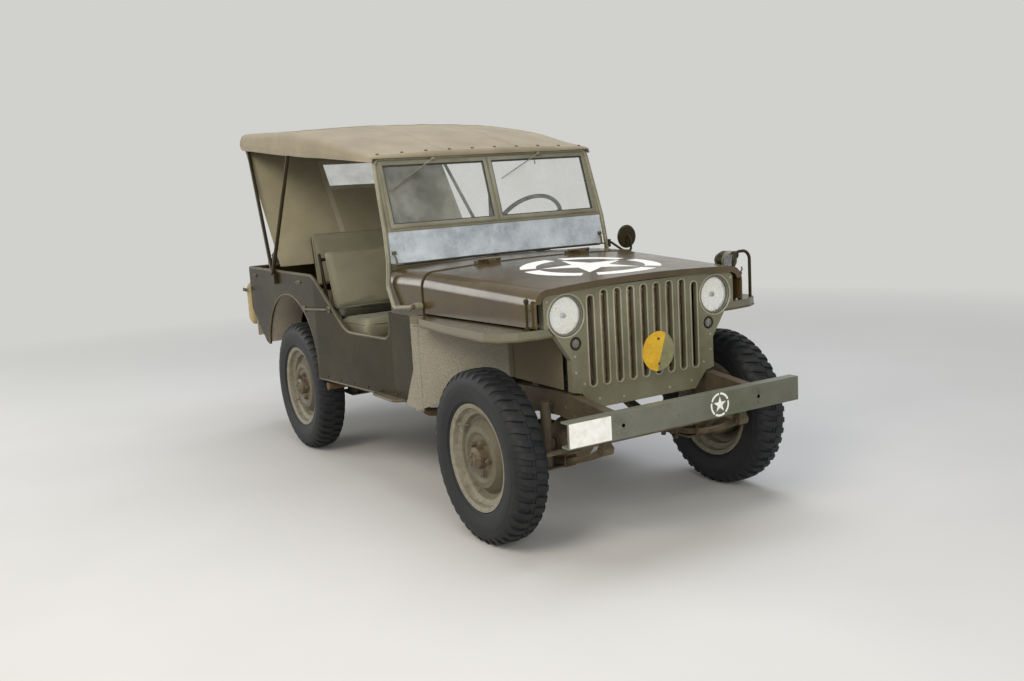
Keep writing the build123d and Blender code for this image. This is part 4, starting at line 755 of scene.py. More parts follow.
def canvasPoint(x, share):
    # share runs 0 at the right hem to 1 at the left hem, by length round the section
    half, edge, crown, hem, corner = evenedSection(x)
    drop, arc, flat, total = sectionLengths(x)
    s = share * total
    mirrored = s > total / 2
    if mirrored:
        s = total - s
    if s < drop:
        t = s / drop
        # the loose side bows out a little and its hem hangs in shallow waves
        loose = (1 - t) ** 1.2
        y, z = half, hem + s
        swing = noise.noise(Vector((x * 5.2, 3.1 if mirrored else 7.7, t * 1.3)))
        y += loose * (0.006 * swing - 0.004) + 0.004 * sin(pi * t)
        z += loose * 0.004 * noise.noise(Vector((x * 6.1, 1.3 if mirrored else 4.4, 0.0)))
    elif s < drop + arc:
        a = (s - drop) / corner
        y, z = half - corner + corner * cos(a), edge - corner + corner * sin(a)
    else:
        y = half - corner - (s - drop - arc)
        z = edge + crown * (1 - (y / (half - corner)) ** 2)
        # between the bows the cloth hangs a little, most in the middle of a panel
        for front, back, sag in ((0.205, -0.833, 0.012), (-0.833, -1.645, 0.010)):
            if front > x > back:
                t = (front - x) / (front - back)
                z -= sag * 4 * t * (1 - t) * (1 - (y / half) ** 2) ** 0.5
        # drag lines from the corners and soft dimples
        side = -y if mirrored else y
        z += 0.0020 * noise.noise(Vector((x * 3.5, side * 7.0, 2.0))) + 0.0016 * noise.noise(Vector((x * 11.0 + side * 9.0,
            side * 2.0, 5.0)))
    return Vector((x, -y if mirrored else y, z))


def shareAt(x, y):
    # the share whose point stands across the car at y on the top
    drop, arc, flat, total = sectionLengths(x)
    return (drop + arc + flat / 2 - y) / total


def gridSheet(points):
    bm = bmesh.new()
    rows = [[bm.verts.new(p) for p in row] for row in points]
    joinRings(bm, rows, closed=False)
    return bm


def upwards(bm, test):
    # turn the sheet so that the face nearest to the test point's side looks out
    bmesh.ops.recalc_face_normals(bm, faces=bm.faces)
    face = max(bm.faces, key=lambda f: f.calc_center_median().dot(test))
    face.normal_update()
    if face.normal.dot(test) < 0:
        bmesh.ops.reverse_faces(bm, faces=bm.faces)


def sectionLengths(x):
    half, edge, crown, hem, corner = evenedSection(x)
    drop, arc, flat = edge - hem - corner, corner * pi / 2, 2 * (half - corner)
    return drop, arc, flat, 2 * (drop + arc) + flat


def makeCanvasTop():
    sideSteps, cornerSteps, topSteps = topCanvas["steps"]
    front, back = topCanvas["sections"][0][0], topCanvas["sections"][-1][0]
    rows = []
    for i in range(topCanvas["rows"] + 1):
        x = front + (back - front) * i / topCanvas["rows"]
        drop, arc, flat, total = sectionLengths(x)
        side = [drop * k / sideSteps / total for k in range(sideSteps)]
        side += [(drop + arc * k / cornerSteps) / total for k in range(cornerSteps)]
        top = [(drop + arc + flat * k / topSteps) / total for k in range(topSteps + 1)]
        rows.append([canvasPoint(x, share) for share in side + top + [1 - share for share in reversed(side)]])
    # the front edge turns down over the windscreen's top tube
    turned = []
    for reach, drop in ((0.0055, 1.0), (0.0050, 0.62), (0.0035, 0.25)):
        turned.append([point + Vector((reach, 0, (min(point.z, topCanvas["tubeTop"]) - point.z) * drop)) for point in rows[0]])
    bm = gridSheet(turned + rows)
    upwards(bm, Vector((0, 0, 1)))
    print("canvas top area", round(sum(face.calc_area() for face in bm.faces), 3))
    cover = dressPiece("canvasTop", walled(bm, "canvasTop", topCanvas["thick"]), "wovenCottonDuck", "canvas_top", 50.0)
    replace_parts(cover, "canvas_top")
    return cover


def canvasNormal(x, share):
    along = canvasPoint(x - 0.004, share) - canvasPoint(x + 0.004, share)
    across = canvasPoint(x, min(share + 0.003, 1)) - canvasPoint(x, max(share - 0.003, 0))
    normal = along.cross(across).normalized()
    centre = Vector((x, 0, 1.5))
    return normal if normal.dot(canvasPoint(x, share) - centre) > 0 else -normal


def canvasBand(bm, path, halfWidth, lift, thick):
    # path rows: (x, share) laid on the canvas, as a doubled strip
    rings = []
    for i, (x, share) in enumerate(path):
        before, after = path[max(i - 1, 0)], path[min(i + 1, len(path) - 1)]
        along = canvasPoint(*after) - canvasPoint(*before)
        if along.length < 1e-6:
            continue
        along.normalize()
        normal = canvasNormal(x, share)
        side = along.cross(normal).normalized()
        centre = canvasPoint(x, share)
        rings.append([bm.verts.new(centre + side * sx * halfWidth + normal * up) for sx, up in
            ((-1, lift - thick), (-1, lift), (-0.86, lift + thick * 0.6), (0.86, lift + thick * 0.6), (1, lift),
            (1, lift - thick))])
    joinRings(bm, rings)
    capEnds(bm, rings)


def makeCanvasHems():
    bm = bmesh.new()
    front, back = topCanvas["sections"][0][0], topCanvas["sections"][-1][0]
    lengths = [front + (back - front) * i / 60 for i in range(61)]
    for y in topCanvas["seams"]:
        canvasBand(bm, [(x, shareAt(x, y)) for x in lengths], 0.008, 0.0006, 0.0010)
    # the hem along each side and across the front
    shares = [0.013 / sectionLengths(x)[3] for x in lengths]
    for path in ([(x, share) for x, share in zip(lengths, shares)], [(x, 1 - share) for x, share in zip(lengths, shares)]):
        canvasBand(bm, path, 0.0125, 0.0006, 0.0026)
    canvasBand(bm, [(front - 0.014, 0.004 + 0.992 * i / 60) for i in range(61)], 0.013, 0.0006, 0.0024)
    canvasBand(bm, [(back + 0.012, 0.004 + 0.992 * i / 60) for i in range(61)], 0.012, 0.0006, 0.0024)
    # doubled patches where the bows press
    for x in (-0.833, -1.640):
        canvasBand(bm, [(x, 0.11 + 0.78 * i / 50) for i in range(51)], 0.024, 0.0005, 0.0008)
    return finishPiece("canvasHems", bm, "wovenCottonDuck", "canvas_top", 40.0)


canvasTop = makeCanvasTop()
canvasHems = makeCanvasHems()

# turn-button studs along the front edge
studRows = []
for i in range(10):
    x, share = 0.186, shareAt(0.186, -0.575 + 1.15 * i / 9)
    studRows.append((canvasPoint(x, share) + canvasNormal(x, share) * 0.0028, canvasNormal(x, share)))
addStuds("canvasStuds", studRows, "rustedForgedSteel", "canvas_top", 0.0078, 0.0045, 14, 0.62)


# rear curtain

curtain = {"low": (-1.138, 1.022), "top": (-1.6620, 1.800), "half": 0.644, "narrow": 0.612, "windowHalf": 0.185,
        "window": (1.467, 1.603), "flat": (1.288, 0.938),
           "area": 1.158, "billow": 0.010, "thick": 0.0022}


curtainRise = Vector((curtain["top"][0] - curtain["low"][0], 0, curtain["top"][1] - curtain["low"][1]))
curtainOut = Vector((curtainRise.z, 0, -curtainRise.x)).normalized()
lowT, highT = ((z - curtain["low"][1]) / curtainRise.z for z in curtain["window"])


def curtainPoint(y, t, lift=0.0):
    place = Vector((curtain["low"][0], y, curtain["low"][1])) + curtainRise * t
    # held at its top and its sides, the middle blows back a little in long soft folds
    free = (1 - (y / curtain["half"]) ** 4) * sin(pi * min(t, 1)) ** 0.7
    blow = 0.55 * noise.noise(Vector((y * 2.3, t * 1.6, 1.0))) + 0.25 * noise.noise(Vector((y * 6.5, t * 2.4, 9.0))) - 0.15
    return place + curtainOut * (curtain["billow"] * free * blow + lift)


def makeCurtain():
    columns = sorted({round(-curtain["half"] + curtain["half"] * k / 22, 5) for k in range(45)} | {-curtain["windowHalf"],
        curtain["windowHalf"]})
    levels = sorted({round(k / 34, 5) for k in range(35)} | {lowT, highT})
    columns = [y for y in columns if abs(abs(y) - curtain["windowHalf"]) < 1e-6 or abs(abs(y) - curtain["windowHalf"]) > 0.012]
    levels = [t for t in levels if min(abs(t - lowT), abs(t - highT)) < 1e-6 or min(abs(t - lowT), abs(t - highT)) > 0.012]
    bm = bmesh.new()
    grid = []
    for t in levels:
        squeeze = 1.0
        if t > 0.955:
            squeeze = 1 - (1 - curtain["narrow"] / curtain["half"]) * smoothStep((t - 0.955) / 0.045)
        grid.append([bm.verts.new(curtainPoint(y * squeeze, t)) for y in columns])
    for i, t in enumerate(levels[:-1]):
        for k, y in enumerate(columns[:-1]):
            middle, high = (columns[k] + columns[k + 1]) / 2, (levels[i] + levels[i + 1]) / 2
            if abs(middle) < curtain["windowHalf"] and lowT < high < highT:
                continue
            bm.faces.new((grid[i][k], grid[i][k + 1], grid[i + 1][k + 1], grid[i + 1][k]))
    upwards(bm, Vector((1, 0, 0)))
    print("curtain area", round(sum(face.calc_area() for face in bm.faces), 3))
    # the curtain's cloth is painted lighter as painted light coming through it
    piece = dressPiece("rearCurtain", walled(bm, "rearCurtain", curtain["thick"]), "thinCottonDuck", "rear_curtain",
        50.0)
    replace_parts(piece, "rear_curtain")
    return piece


def curtainTape(bm, path, width, lift, thick):
    # path rows: (y, t); tape sewn flat on the curtain
    points = [curtainPoint(y, t, lift) for y, t in path]
    addStrap(bm, points, (points[-1] - points[0]).cross(curtainOut), width, thick)


def makeCurtainTapes():
    half, edge = curtain["windowHalf"] + 0.013, 0.013 / 0.94
    bm = bmesh.new()
    for lift in (0.0016, -curtain["thick"] - 0.0014):
        for y in (-half, half):
            curtainTape(bm, [(y, 0.012 + (highT + edge - 0.012) * k / 40) for k in range(41)], 0.030, lift, 0.0016)
        for t in (lowT - edge, highT + edge):
            curtainTape(bm, [(-half - 0.013 + (2 * half + 0.026) * k / 16, t) for k in range(17)], 0.027, lift, 0.0018)
    return finishPiece("curtainTapes", bm, "wovenWebbing", "rear_curtain", 40.0)


def makeCurtainHem():
    bm = bmesh.new()
    half = curtain["half"] - 0.011
    for lift in (0.0014, -curtain["thick"] - 0.0012):
        curtainTape(bm, [(-half + 2 * half * k / 44, 0.012) for k in range(45)], 0.024, lift, 0.0014)
        for side in (-1, 1):
            curtainTape(bm, [(side * half, 0.004 + 0.944 * k / 40) for k in range(41)], 0.022, lift, 0.0014)
    return finishPiece("curtainHem", bm, "thinCottonDuck", "rear_curtain", 40.0)


rearCurtain = makeCurtain()
curtainTapes = makeCurtainTapes()
curtainHem = makeCurtainHem()


def makeRearPane():
    # clear pane sewn behind the tapes
    bm = gridSheet([[curtainPoint(-0.193 + 0.386 * k / 10, lowT - 0.008 + (highT - lowT + 0.016) * i / 6,
        -0.0012) for k in range(11)] for i in range(7)])
    upwards(bm, Vector((1, 0, 0)))
    return dressPiece("curtainWindow", walled(bm, "curtainWindow", 0.0006, 0.0), "platedScreenGlass", "rear_curtain",
        50.0)


makeRearPane()
print("canvas made")

# cushions, by cloth simulation

cushionLook = {"voxel": 0.0085, "pressure": 3.6, "frames": 20, "cap": 0.012}
seatPad = {"low": 0.202, "high": 0.608}


def boxMesh(corners, cuts, pull):
    # corners: eight points, bottom ring then top ring; edges rounded by smoothing, sides pulled in between the corners
    bm = bmesh.new()
    verts = [bm.verts.new(Vector(c)) for c in corners]
    for ring in ((3, 2, 1, 0), (4, 5, 6, 7), (0, 1, 5, 4), (1, 2, 6, 5), (2, 3, 7, 6), (3, 0, 4, 7)):
        bm.faces.new([verts[k] for k in ring])
    bmesh.ops.bevel(bm, geom=bm.edges[:], offset=pull, segments=3, profile=0.6, affect="EDGES")
    bmesh.ops.triangulate(bm, faces=bm.faces)
    bmesh.ops.subdivide_edges(bm, edges=bm.edges[:], cuts=cuts, use_grid_fill=True)
    bmesh.ops.recalc_face_normals(bm, faces=bm.faces)
    return bm


def inflated(name, bm, cap, voxel=cushionLook["voxel"]):
    # the pad's mesh, remeshed and puffed out by cloth pressure, no point moving further than cap
    pad = helperObject(name, rawMesh(bm, name))
    remesh = pad.modifiers.new("remesh", "REMESH")
    remesh.mode, remesh.voxel_size = "VOXEL", voxel * 1.0
    plain = settled(pad, remesh)
    pad = helperObject(name, plain.copy())
    cloth = pad.modifiers.new("cloth", "CLOTH")
    settings = cloth.settings
    settings.quality, settings.mass = 4, 0.25
    settings.tension_stiffness = settings.compression_stiffness = 18.0
    settings.shear_stiffness, settings.bending_stiffness = 9.0, 3.0
    settings.use_pressure, settings.uniform_pressure_force = True, cushionLook["pressure"]
    settings.effector_weights.gravity = 0.0
    cloth.point_cache.frame_start, cloth.point_cache.frame_end = 1, cushionLook["frames"]
    for step in range(1, cushionLook["frames"] + 1):
        bpy.context.scene.frame_set(step)
    puffed = settled(pad, cloth)
    bpy.context.scene.frame_set(1)
    for vert, end in zip(plain.vertices, puffed.vertices):
        shift = end.co - vert.co
        vert.co += shift * min(1.0, cap / max(shift.length, 1e-9))
    bm = bmesh.new()
    bm.from_mesh(plain)
    for turn in range(3):
        bmesh.ops.smooth_vert(bm, verts=bm.verts, factor=0.5, use_axis_x=True, use_axis_y=True, use_axis_z=True)
    return bm


def subdivided(bm, name):
    bmesh.ops.recalc_face_normals(bm, faces=bm.faces)
    pad = helperObject(name, rawMesh(bm, name))
    finer = pad.modifiers.new("finer", "SUBSURF")
    finer.levels = finer.render_levels = 1
    return settled(pad, finer)


def addWelt(bm, points, surface, radius, steps=14):
    # piping along a closed path, each point drawn onto the pad's surface
    points = [Vector(p) for p in points]
    path = []
    for start, end in zip(points, points[1:] + points[:1]):
        for k in range(steps):
            target = start.lerp(end, k / steps)
            hit = surface.find_nearest(target)
            path.append(hit[0] + hit[1] * radius * 0.35)
    for turn in range(3):
        path = [(path[i - 1] + path[i] * 2 + path[(i + 1) % len(path)]) / 4 for i in range(len(path))]
    addTube(bm, path, radius, 8, closed=True)


def makeCushion(name, corners, node, replaced, cap, welts=(), pull=0.030):
    # pad and piping in one piece
    mesh = subdivided(inflated(name, boxMesh(corners, 2, pull), cap), name)
    bm = bmesh.new()
    bm.from_mesh(mesh)
    surface = BVHTree.FromBMesh(bm)
    for points, radius in welts:
        addWelt(bm, points, surface, radius)
    piece = dressPiece(name, rawMesh(bm, name), "sewnSeatDuck", node, 60.0)
    if replaced:
        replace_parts(piece, node)
    return piece


def prism(profile, low, high):
    # four side-view points (x, z) swept across the car: bottom ring at low, top ring at high, ready for boxMesh
    return [(x, low, z) for x, z in profile] + [(x, high, z) for x, z in profile]


def seatRing(profile, low, high, first, second):
    # the four corners of one long face of a prism
    (x0, z0), (x1, z1) = profile[first], profile[second]
    return [(x0, low, z0), (x0, high, z0), (x1, high, z1), (x1, low, z1)]


seatSide = [(-0.048, 0.692), (-0.440, 0.692), (-0.436, 0.770), (-0.046, 0.784)]
backSide = [(-0.448, 0.812), (-0.494, 0.812), (-0.582, 1.128), (-0.540, 1.128)]
for side, who in ((1, "driver"), (-1, "passenger")):
    low, high = sorted((side * seatPad["low"], side * seatPad["high"]))
    node = who + "_cushions"
    makeCushion(who + "SeatCushion", prism(seatSide, low + 0.004, high - 0.008), node, True, 0.014,
        [(seatRing(seatSide, low, high - 0.004, 2, 3), 0.0034), (seatRing(seatSide, low, high - 0.004, 0, 1), 0.0030)])
    makeCushion(who + "BackCushion", prism(backSide, low + 0.004, high - 0.004), node, False, 0.011,
        [(seatRing(backSide, low, high, 3, 0), 0.0032)], 0.022)
print("front cushions made")

rearSide = [(-0.692, 0.742), (-1.018, 0.742), (-1.018, 0.796), (-0.692, 0.796)]
makeCushion("rearCushion", prism(rearSide, -0.464, 0.464), "rear_seat_cushion", True, 0.012,
            [(seatRing(rearSide, -0.464, 0.464, 2, 3), 0.0034), (seatRing(rearSide, -0.464, 0.464, 0, 1), 0.0030)], 0.024)
rearBackSide = [(-1.040, 0.892), (-1.088, 0.892), (-1.139, 1.206), (-1.096, 1.206)]
makeCushion("rearBackCushion", prism(rearBackSide, -0.464, 0.464), "rear_back_pad", True, 0.010,
        [(seatRing(rearBackSide, -0.464, 0.464, 3, 0), 0.0032)], 0.022)
print("rear cushions made")

# canvas bag on the rear corner

bag = {"front": -1.5205, "low": -0.736, "high": -0.612}
bagSide = [(-1.5200, 0.648), (-1.5900, 0.684), (-1.6050, 0.890), (-1.5220, 0.930)]


def makeBag():
    bm = inflated("cornerBag", boxMesh(prism(bagSide, bag["low"] + 0.008, bag["high"] - 0.008), 2, 0.020), 0.010, 0.0065)
    for vert in bm.verts:
        # the filling settles: fuller below, and the cloth under the flap draws in
        t = (vert.co.z - 0.648) / 0.282
        middle = (bag["low"] + bag["high"]) / 2
        vert.co.y = middle + (vert.co.y - middle) * (1.03 - 0.12 * t)
        vert.co.x = bag["front"] + (vert.co.x - bag["front"]) * (1.0 - 0.10 * smoothStep(min(max((t - 0.75) / 0.25, 0), 1)))
        vert.co += vert.normal * 0.0024 * noise.noise(vert.co * 34.0)
    mesh = subdivided(bm, "cornerBag")
    piece = dressPiece("cornerBag", mesh, "haversackCanvas", "canvas_bag", 60.0)
    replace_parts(piece, "canvas_bag")
    bm = bmesh.new()
    bm.from_mesh(mesh)
    surface = BVHTree.FromBMesh(bm)
    bm.free()
    return surface


def drapedOn(surface, points, lift):
    path = []
    for point in points:
        hit = surface.find_nearest(Vector(point))
        path.append(hit[0] + hit[1] * lift)
    for turn in range(2):
        path = [path[0]] + [(path[i - 1] + path[i] * 2 + path[i + 1]) / 4 for i in range(1, len(path) - 1)] + [path[-1]]
    return path


def makeBagStraps():
    surface = makeBag()
    bm = bmesh.new()
    # two closing straps over the flap, and the flap's edge
    for y in (-0.700, -0.648):
        points = [(-1.5240 - 0.1 * min(k / 5, 1), y, 0.946 - 0.022 * max(k - 5, 0)) for k in range(14)]
        addStrap(bm, drapedOn(surface, points, 0.0022), (0, 1, 0), 0.020, 0.0024)
    edge = [(-1.640, -0.738 + 0.124 * k / 12, 0.800 + 0.006 * sin(k)) for k in range(13)]
    addStrap(bm, drapedOn(surface, edge, 0.0016), (0, 0, 1), 0.014, 0.0026)
    finishPiece("bagStraps", bm, "wovenWebbing", "canvas_bag", 40.0)
    bm = bmesh.new()
    for y in (-0.700, -0.648):
        spot, facing = surface.find_nearest(Vector((-1.64, y, 0.775)))[:2]
        across = Vector((0, 1, 0))
        down = facing.cross(across).normalized()
        ring = [spot + facing * 0.005 + across * sx * 0.014 + down * sz * 0.011 for sx, sz in ((-1, -1), (1, -1),
            (1, 1), (-1, 1))]
        addTube(bm, ring, 0.0018, 8, closed=True)
        addTube(bm, [ring[0].lerp(ring[3], 0.5), ring[1].lerp(ring[2], 0.5)], 0.0016, 8)
    finishPiece("bagBuckles", bm, "stampedBrass", "canvas_bag", 40.0)
    # carrying loop at the side, dark with use
    bm = bmesh.new()
    handle = rounded([(-1.535, -0.7385, 0.868), (-1.535, -0.7475, 0.872), (-1.585, -0.7475, 0.872),
        (-1.585, -0.7385, 0.868)], 0.008, 4)
    addStrap(bm, handle, (0, 0, 1), 0.020, 0.004)
    finishPiece("bagHandle", bm, "tannedLeather", "canvas_bag", 40.0)


makeBagStraps()
print("bag made")

# markings laid on the panels


def nodeSurface(name):
    bm = bmesh.new()
    bm.from_mesh(nodes[name].data)
    surface = BVHTree.FromBMesh(bm)
    bm.free()
    return surface


def starPoints(radius, waist=0.382):
    # ten points of a five-pointed star, the first tip along +u
    reach = [radius, radius * waist] * 5
    return [(r * cos(pi * k / 5), r * sin(pi * k / 5)) for k, r in enumerate(reach)]


def markOutlines(mark, steps=12):
    # a star, and a ring broken opposite each of its tips
    radius, width = mark["radius"], mark["width"]
    outlines = [starPoints(mark["star"])]
    for k in range(5):
        low = 2 * pi * k / 5 + mark["gap"] / radius
        high = 2 * pi * (k + 1) / 5 - mark["gap"] / radius
        turns = [low + (high - low) * i / steps for i in range(steps + 1)]
        outlines.append([(radius * cos(a), radius * sin(a)) for a in turns] + [((radius - width) * cos(a),
            (radius - width) * sin(a)) for a in reversed(turns)])
    return outlines


def layMark(name, outlines, centre, along, across, surface, reach, grain, look, node, lift=0.0004):
    # flat outlines cut fine, then dropped onto the surface along its facing
    centre, along, across = Vector(centre), Vector(along).normalized(), Vector(across).normalized()
    facing = along.cross(across).normalized()
    bm = bmesh.new()
    for outline in outlines:
        verts = [bm.verts.new((u, v, 0)) for u, v in outline]
        bm.faces.new(verts)
    bmesh.ops.triangulate(bm, faces=bm.faces)
    low = [min(vert.co[i] for vert in bm.verts) for i in (0, 1)]
    high = [max(vert.co[i] for vert in bm.verts) for i in (0, 1)]
    for axis in (0, 1):
        count = int((high[axis] - low[axis]) / grain)
        for k in range(1, count):
            place, normal = Vector((0, 0, 0)), Vector((0, 0, 0))
            place[axis] = low[axis] + (high[axis] - low[axis]) * k / count
            normal[axis] = 1
            bmesh.ops.bisect_plane(bm, geom=bm.verts[:] + bm.edges[:] + bm.faces[:], plane_co=place, plane_no=normal)
    for vert in bm.verts:
        start = centre + along * vert.co.x + across * vert.co.y + facing * reach
        hit = surface.ray_cast(start, -facing, 2 * reach)
        vert.co = (hit[0] if hit[0] else start - facing * reach) + facing * lift
    bmesh.ops.recalc_face_normals(bm, faces=bm.faces)
    if sum(face.normal.dot(facing) for face in bm.faces) < 0:
        bmesh.ops.reverse_faces(bm, faces=bm.faces)
    return dressPiece(name, rawMesh(bm, name), look, node, 40.0)


hoodMark = {"centre": (1.050, 0.0, 1.06), "radius": 0.306, "width": 0.070, "star": 0.222, "gap": 0.034}
bumperMark = {"centre": (1.686, 0.1465, 0.525), "radius": 0.0485, "width": 0.0085, "star": 0.0345, "gap": 0.0035}
hoodSurface = nodeSurface("hood")
bumperSurface = nodeSurface("front_bumper")
layMark("hoodStar", markOutlines(hoodMark), hoodMark["centre"], (-1, 0, 0), (0, -1, 0),
        hoodSurface, 0.08, 0.03, "stencilledWhite", "hood")
layMark("bumperStar", markOutlines(bumperMark), bumperMark["centre"], (0, 0, 1), (0, -1, 0),
        bumperSurface, 0.02, 0.05, "stencilledWhite", "front_bumper")

# blank white number panel on the bumper's right end
layMark("bumperPanel", [[(-0.095, -0.046), (0.095, -0.046), (0.095, 0.046), (-0.095, 0.046)]], (1.686, -0.484, 0.525),
        (0, 1, 0), (0, 0, 1), bumperSurface, 0.02, 0.03, "stencilledWhite",
        "front_bumper")


# bridge disc on the grille: plain yellow and khaki, without a number

disc = {"centre": (1.4155, 0.064, 0.721), "radius": 0.083, "thick": 0.0022, "slant": radians(72.0), "offset": 0.016}


def makeDisc():
    x, y, z = disc["centre"]
    cut = (cos(disc["slant"]), sin(disc["slant"]))
    for look, sign in (("brushedYellow", -1), ("brushedKhaki", 1)):
        outline = []
        for k in range(72):
            a = 2 * pi * k / 72
            u, v = cos(a) * disc["radius"], sin(a) * disc["radius"]
            # signed distance from the dividing line
            gap = (u * cut[1] - v * cut[0]) - disc["offset"]
            if gap * sign < 0:
                u, v = u - cut[1] * gap, v + cut[0] * gap
            outline.append((x, y + u, z + v))
        bm = bmesh.new()
        addPlate(bm, outline, (1, 0, 0), disc["thick"])
        finishPiece("gradeDisc" + ("Left" if sign < 0 else "Right"), bm, look, "grille", 30.0)
    addStuds("gradeDiscBolts", [((x + disc["thick"], y, z + 0.052), (1, 0, 0)),
        ((x + disc["thick"], y, z - 0.052), (1, 0, 0))], "rustedForgedSteel", "grille", 0.006, 0.004, 6, 0.8)


makeDisc()


# lamps

headlamp = {"y": 0.383, "z": 0.921, "lens": 0.0732, "front": 1.4010, "dome": 0.0115}


def makeHeadlamps():
    reflectorBm, lensBm, bulbBm, ringBm = bmesh.new(), bmesh.new(), bmesh.new(), bmesh.new()
    for side in (1, -1):
        place = (headlamp["front"], side * headlamp["y"], headlamp["z"])
        # bowl behind the glass
        bowl = [(-0.0046, 0.0733)] + [(-0.0046 - 0.0050 * (1 - (k / 12) ** 2), 0.0733 * k / 12) for k in range(12, -1, -1)]
        addTurned(reflectorBm, bowl, place, (1, 0, 0), 48)
        addTurned(bulbBm, [(-0.0092, 0.0), (-0.0092, 0.010), (-0.004, 0.011), (-0.001, 0.006), (-0.001, 0.0)], place,
            (1, 0, 0), 20)
        # domed glass with upright flutes and a clear rim
        lens = headlamp["lens"]
        sides, rings = 64, 22
        rows = []
        for i in range(rings + 1):
            r = lens * i / rings
            ring = []
            for k in range(sides if i else 1):
                a = 2 * pi * k / sides
                u, v = r * cos(a), r * sin(a)
                flute = 0.0007 * cos(u * 2 * pi / 0.0085) * (1 - smoothStep(min(max((r / lens - 0.84) / 0.1, 0), 1)))
                wave = 0.0008 * cos(v * 2 * pi / 0.030) * (1 if r < lens * 0.8 else 0)
                high = headlamp["dome"] * (1 - (r / lens) ** 2) + flute + wave
                ring.append(lensBm.verts.new((place[0] + high, place[1] + u, place[2] + v)))
            rows.append(ring)
        for k in range(sides):
            lensBm.faces.new((rows[0][0], rows[1][k], rows[1][(k + 1) % sides]))
        back = [lensBm.verts.new((place[0] - 0.0040, vert.co.y, vert.co.z)) for vert in rows[-1]]
        joinRings(lensBm, rows[1:] + [back])
        lensBm.faces.new(back)
        # retaining ring with its clip screw, round the glass
        addTurned(ringBm, [(0.0006, 0.0728), (0.0036, 0.0734), (0.0056, 0.0758), (0.0056, 0.0790), (0.0034, 0.0812),
            (0.0006, 0.0816), (-0.0040, 0.0816), (-0.0040, 0.0728)],
              (1.4052, place[1], place[2]), (1, 0, 0), 56)
        addTurned(ringBm, [(0.004, 0.0), (0.004, 0.0030), (0.0082, 0.0030), (0.0090, 0.0022), (0.0090, 0.0)],
            (1.4052, place[1], place[2] - 0.0775), (1, 0, 0), 12)
    finishPiece("headlampReflectors", reflectorBm, "platedReflector", "lamps", 40.0)
    finishPiece("headlampBulbs", bulbBm, "turnedBareSteel", "lamps", 40.0)
    lenses = finishPiece("headlampLenses", lensBm, "flutedLampGlass", "lamp_lenses", 60.0)
    finishPiece("headlampRings", ringBm, "fadedOliveEnamel", "lamps", 30.0)
    return lenses


markerLamp = {"x": 1.4066, "y": 0.343, "z": 0.806, "glass": 0.0186}
blackoutLamp = {"place": (1.2720, 0.600, 1.040), "glass": 0.0344, "peak": 0.0428, "skin": 0.965}


def makeSmallLamps():
    lensBm, ringBm = bmesh.new(), bmesh.new()
    glass = markerLamp["glass"]
    for side in (1, -1):
        place = (markerLamp["x"], side * markerLamp["y"], markerLamp["z"])
        # marker lamp: three raised slots seen behind a small glass
        addTurned(lensBm, [(0.0, glass), (0.0028, 0.0176), (0.0044, 0.0130), (0.0052, 0.0)], place, (1, 0, 0), 28)
        addTurned(lensBm, [(0.0, glass), (-0.004, glass), (-0.004, 0.0)], place, (1, 0, 0), 28)
        addTurned(ringBm, [(0.0032, glass), (0.0062, 0.0198), (0.0062, 0.0222), (0.0030, 0.0246), (0.0, 0.0246),
            (0.0, glass)], place, (1, 0, 0), 32)
        for u in (-0.008, 0.008):
            addBlock(ringBm, (place[0] + 0.0020, place[1] + u - 0.0022, place[2] - 0.010),
                (place[0] + 0.0066, place[1] + u + 0.0022, place[2] + 0.010), 0.0010)
    # blackout driving lamp: hooded, with its own glass
    place, glass, peak = blackoutLamp["place"], blackoutLamp["glass"], blackoutLamp["peak"]
    addTurned(lensBm, [(-0.001, glass), (0.002, 0.030), (0.0042, 0.018), (0.005, 0.0)], place, (1, 0, 0), 32)
    addTurned(lensBm, [(-0.001, glass), (-0.005, glass), (-0.005, 0.0)], place, (1, 0, 0), 32)
    addTurned(ringBm, [(-0.004, 0.0425), (0.0030, 0.0432), (0.0058, 0.0415), (0.0058, 0.0372), (0.0, 0.0350)], place,
        (1, 0, 0), 36)
    # its peak
    rows = []
    for i in range(4):
        out = 0.003 + 0.011 * i
        row = []
        for k in range(17):
            a = pi * (0.04 + 0.92 * k / 16)
            row.append(Vector((place[0] + out * sin(a) ** 0.7, place[1] + peak * cos(a), place[2] + peak * sin(a))))
        rows.append(row)
    for low, high in zip(rows, rows[1:]):
        for k in range(16):
            quad = [low[k], low[k + 1], high[k + 1], high[k]]
            skin = blackoutLamp["skin"]
            inner = [Vector((p.x, place[1] + (p.y - place[1]) * skin, place[2] + (p.z - place[2]) * skin)) for p in quad]
            verts = [ringBm.verts.new(p) for p in quad + inner]
            for face in ((0, 1, 2, 3), (7, 6, 5, 4), (0, 4, 5, 1), (1, 5, 6, 2), (2, 6, 7, 3), (3, 7, 4, 0)):
                ringBm.faces.new([verts[n] for n in face])
    smallLenses = finishPiece("smallLampLenses", lensBm, "flutedLampGlass", "lamp_lenses", 50.0)
    finishPiece("smallLampRings", ringBm, "fadedOliveEnamel", "lamps", 30.0)
    return smallLenses


headLenses = makeHeadlamps()
makeSmallLamps()
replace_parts(headLenses, "lamp_lenses")

# tail lamps: red and amber glasses in their faces
for look, spots in (("pressedRedGlass", ((0.566, 0.648), (-0.566, 0.648))),
        ("pressedAmberGlass", ((0.566, 0.630), (-0.566, 0.630)))):
    bm = bmesh.new()
    for y, z in spots:
        addTurned(bm, [(0.0, 0.0075), (0.0022, 0.0070), (0.0034, 0.0045), (0.0038, 0.0)], (-1.5438, y, z), (-1, 0, 0), 20)
        addTurned(bm, [(0.0, 0.0075), (-0.002, 0.0075), (-0.002, 0.0)], (-1.5438, y, z), (-1, 0, 0), 20)
    finishPiece("tailGlass" + look[7:], bm, look, "lamps", 40.0)


# radiator core behind the slots


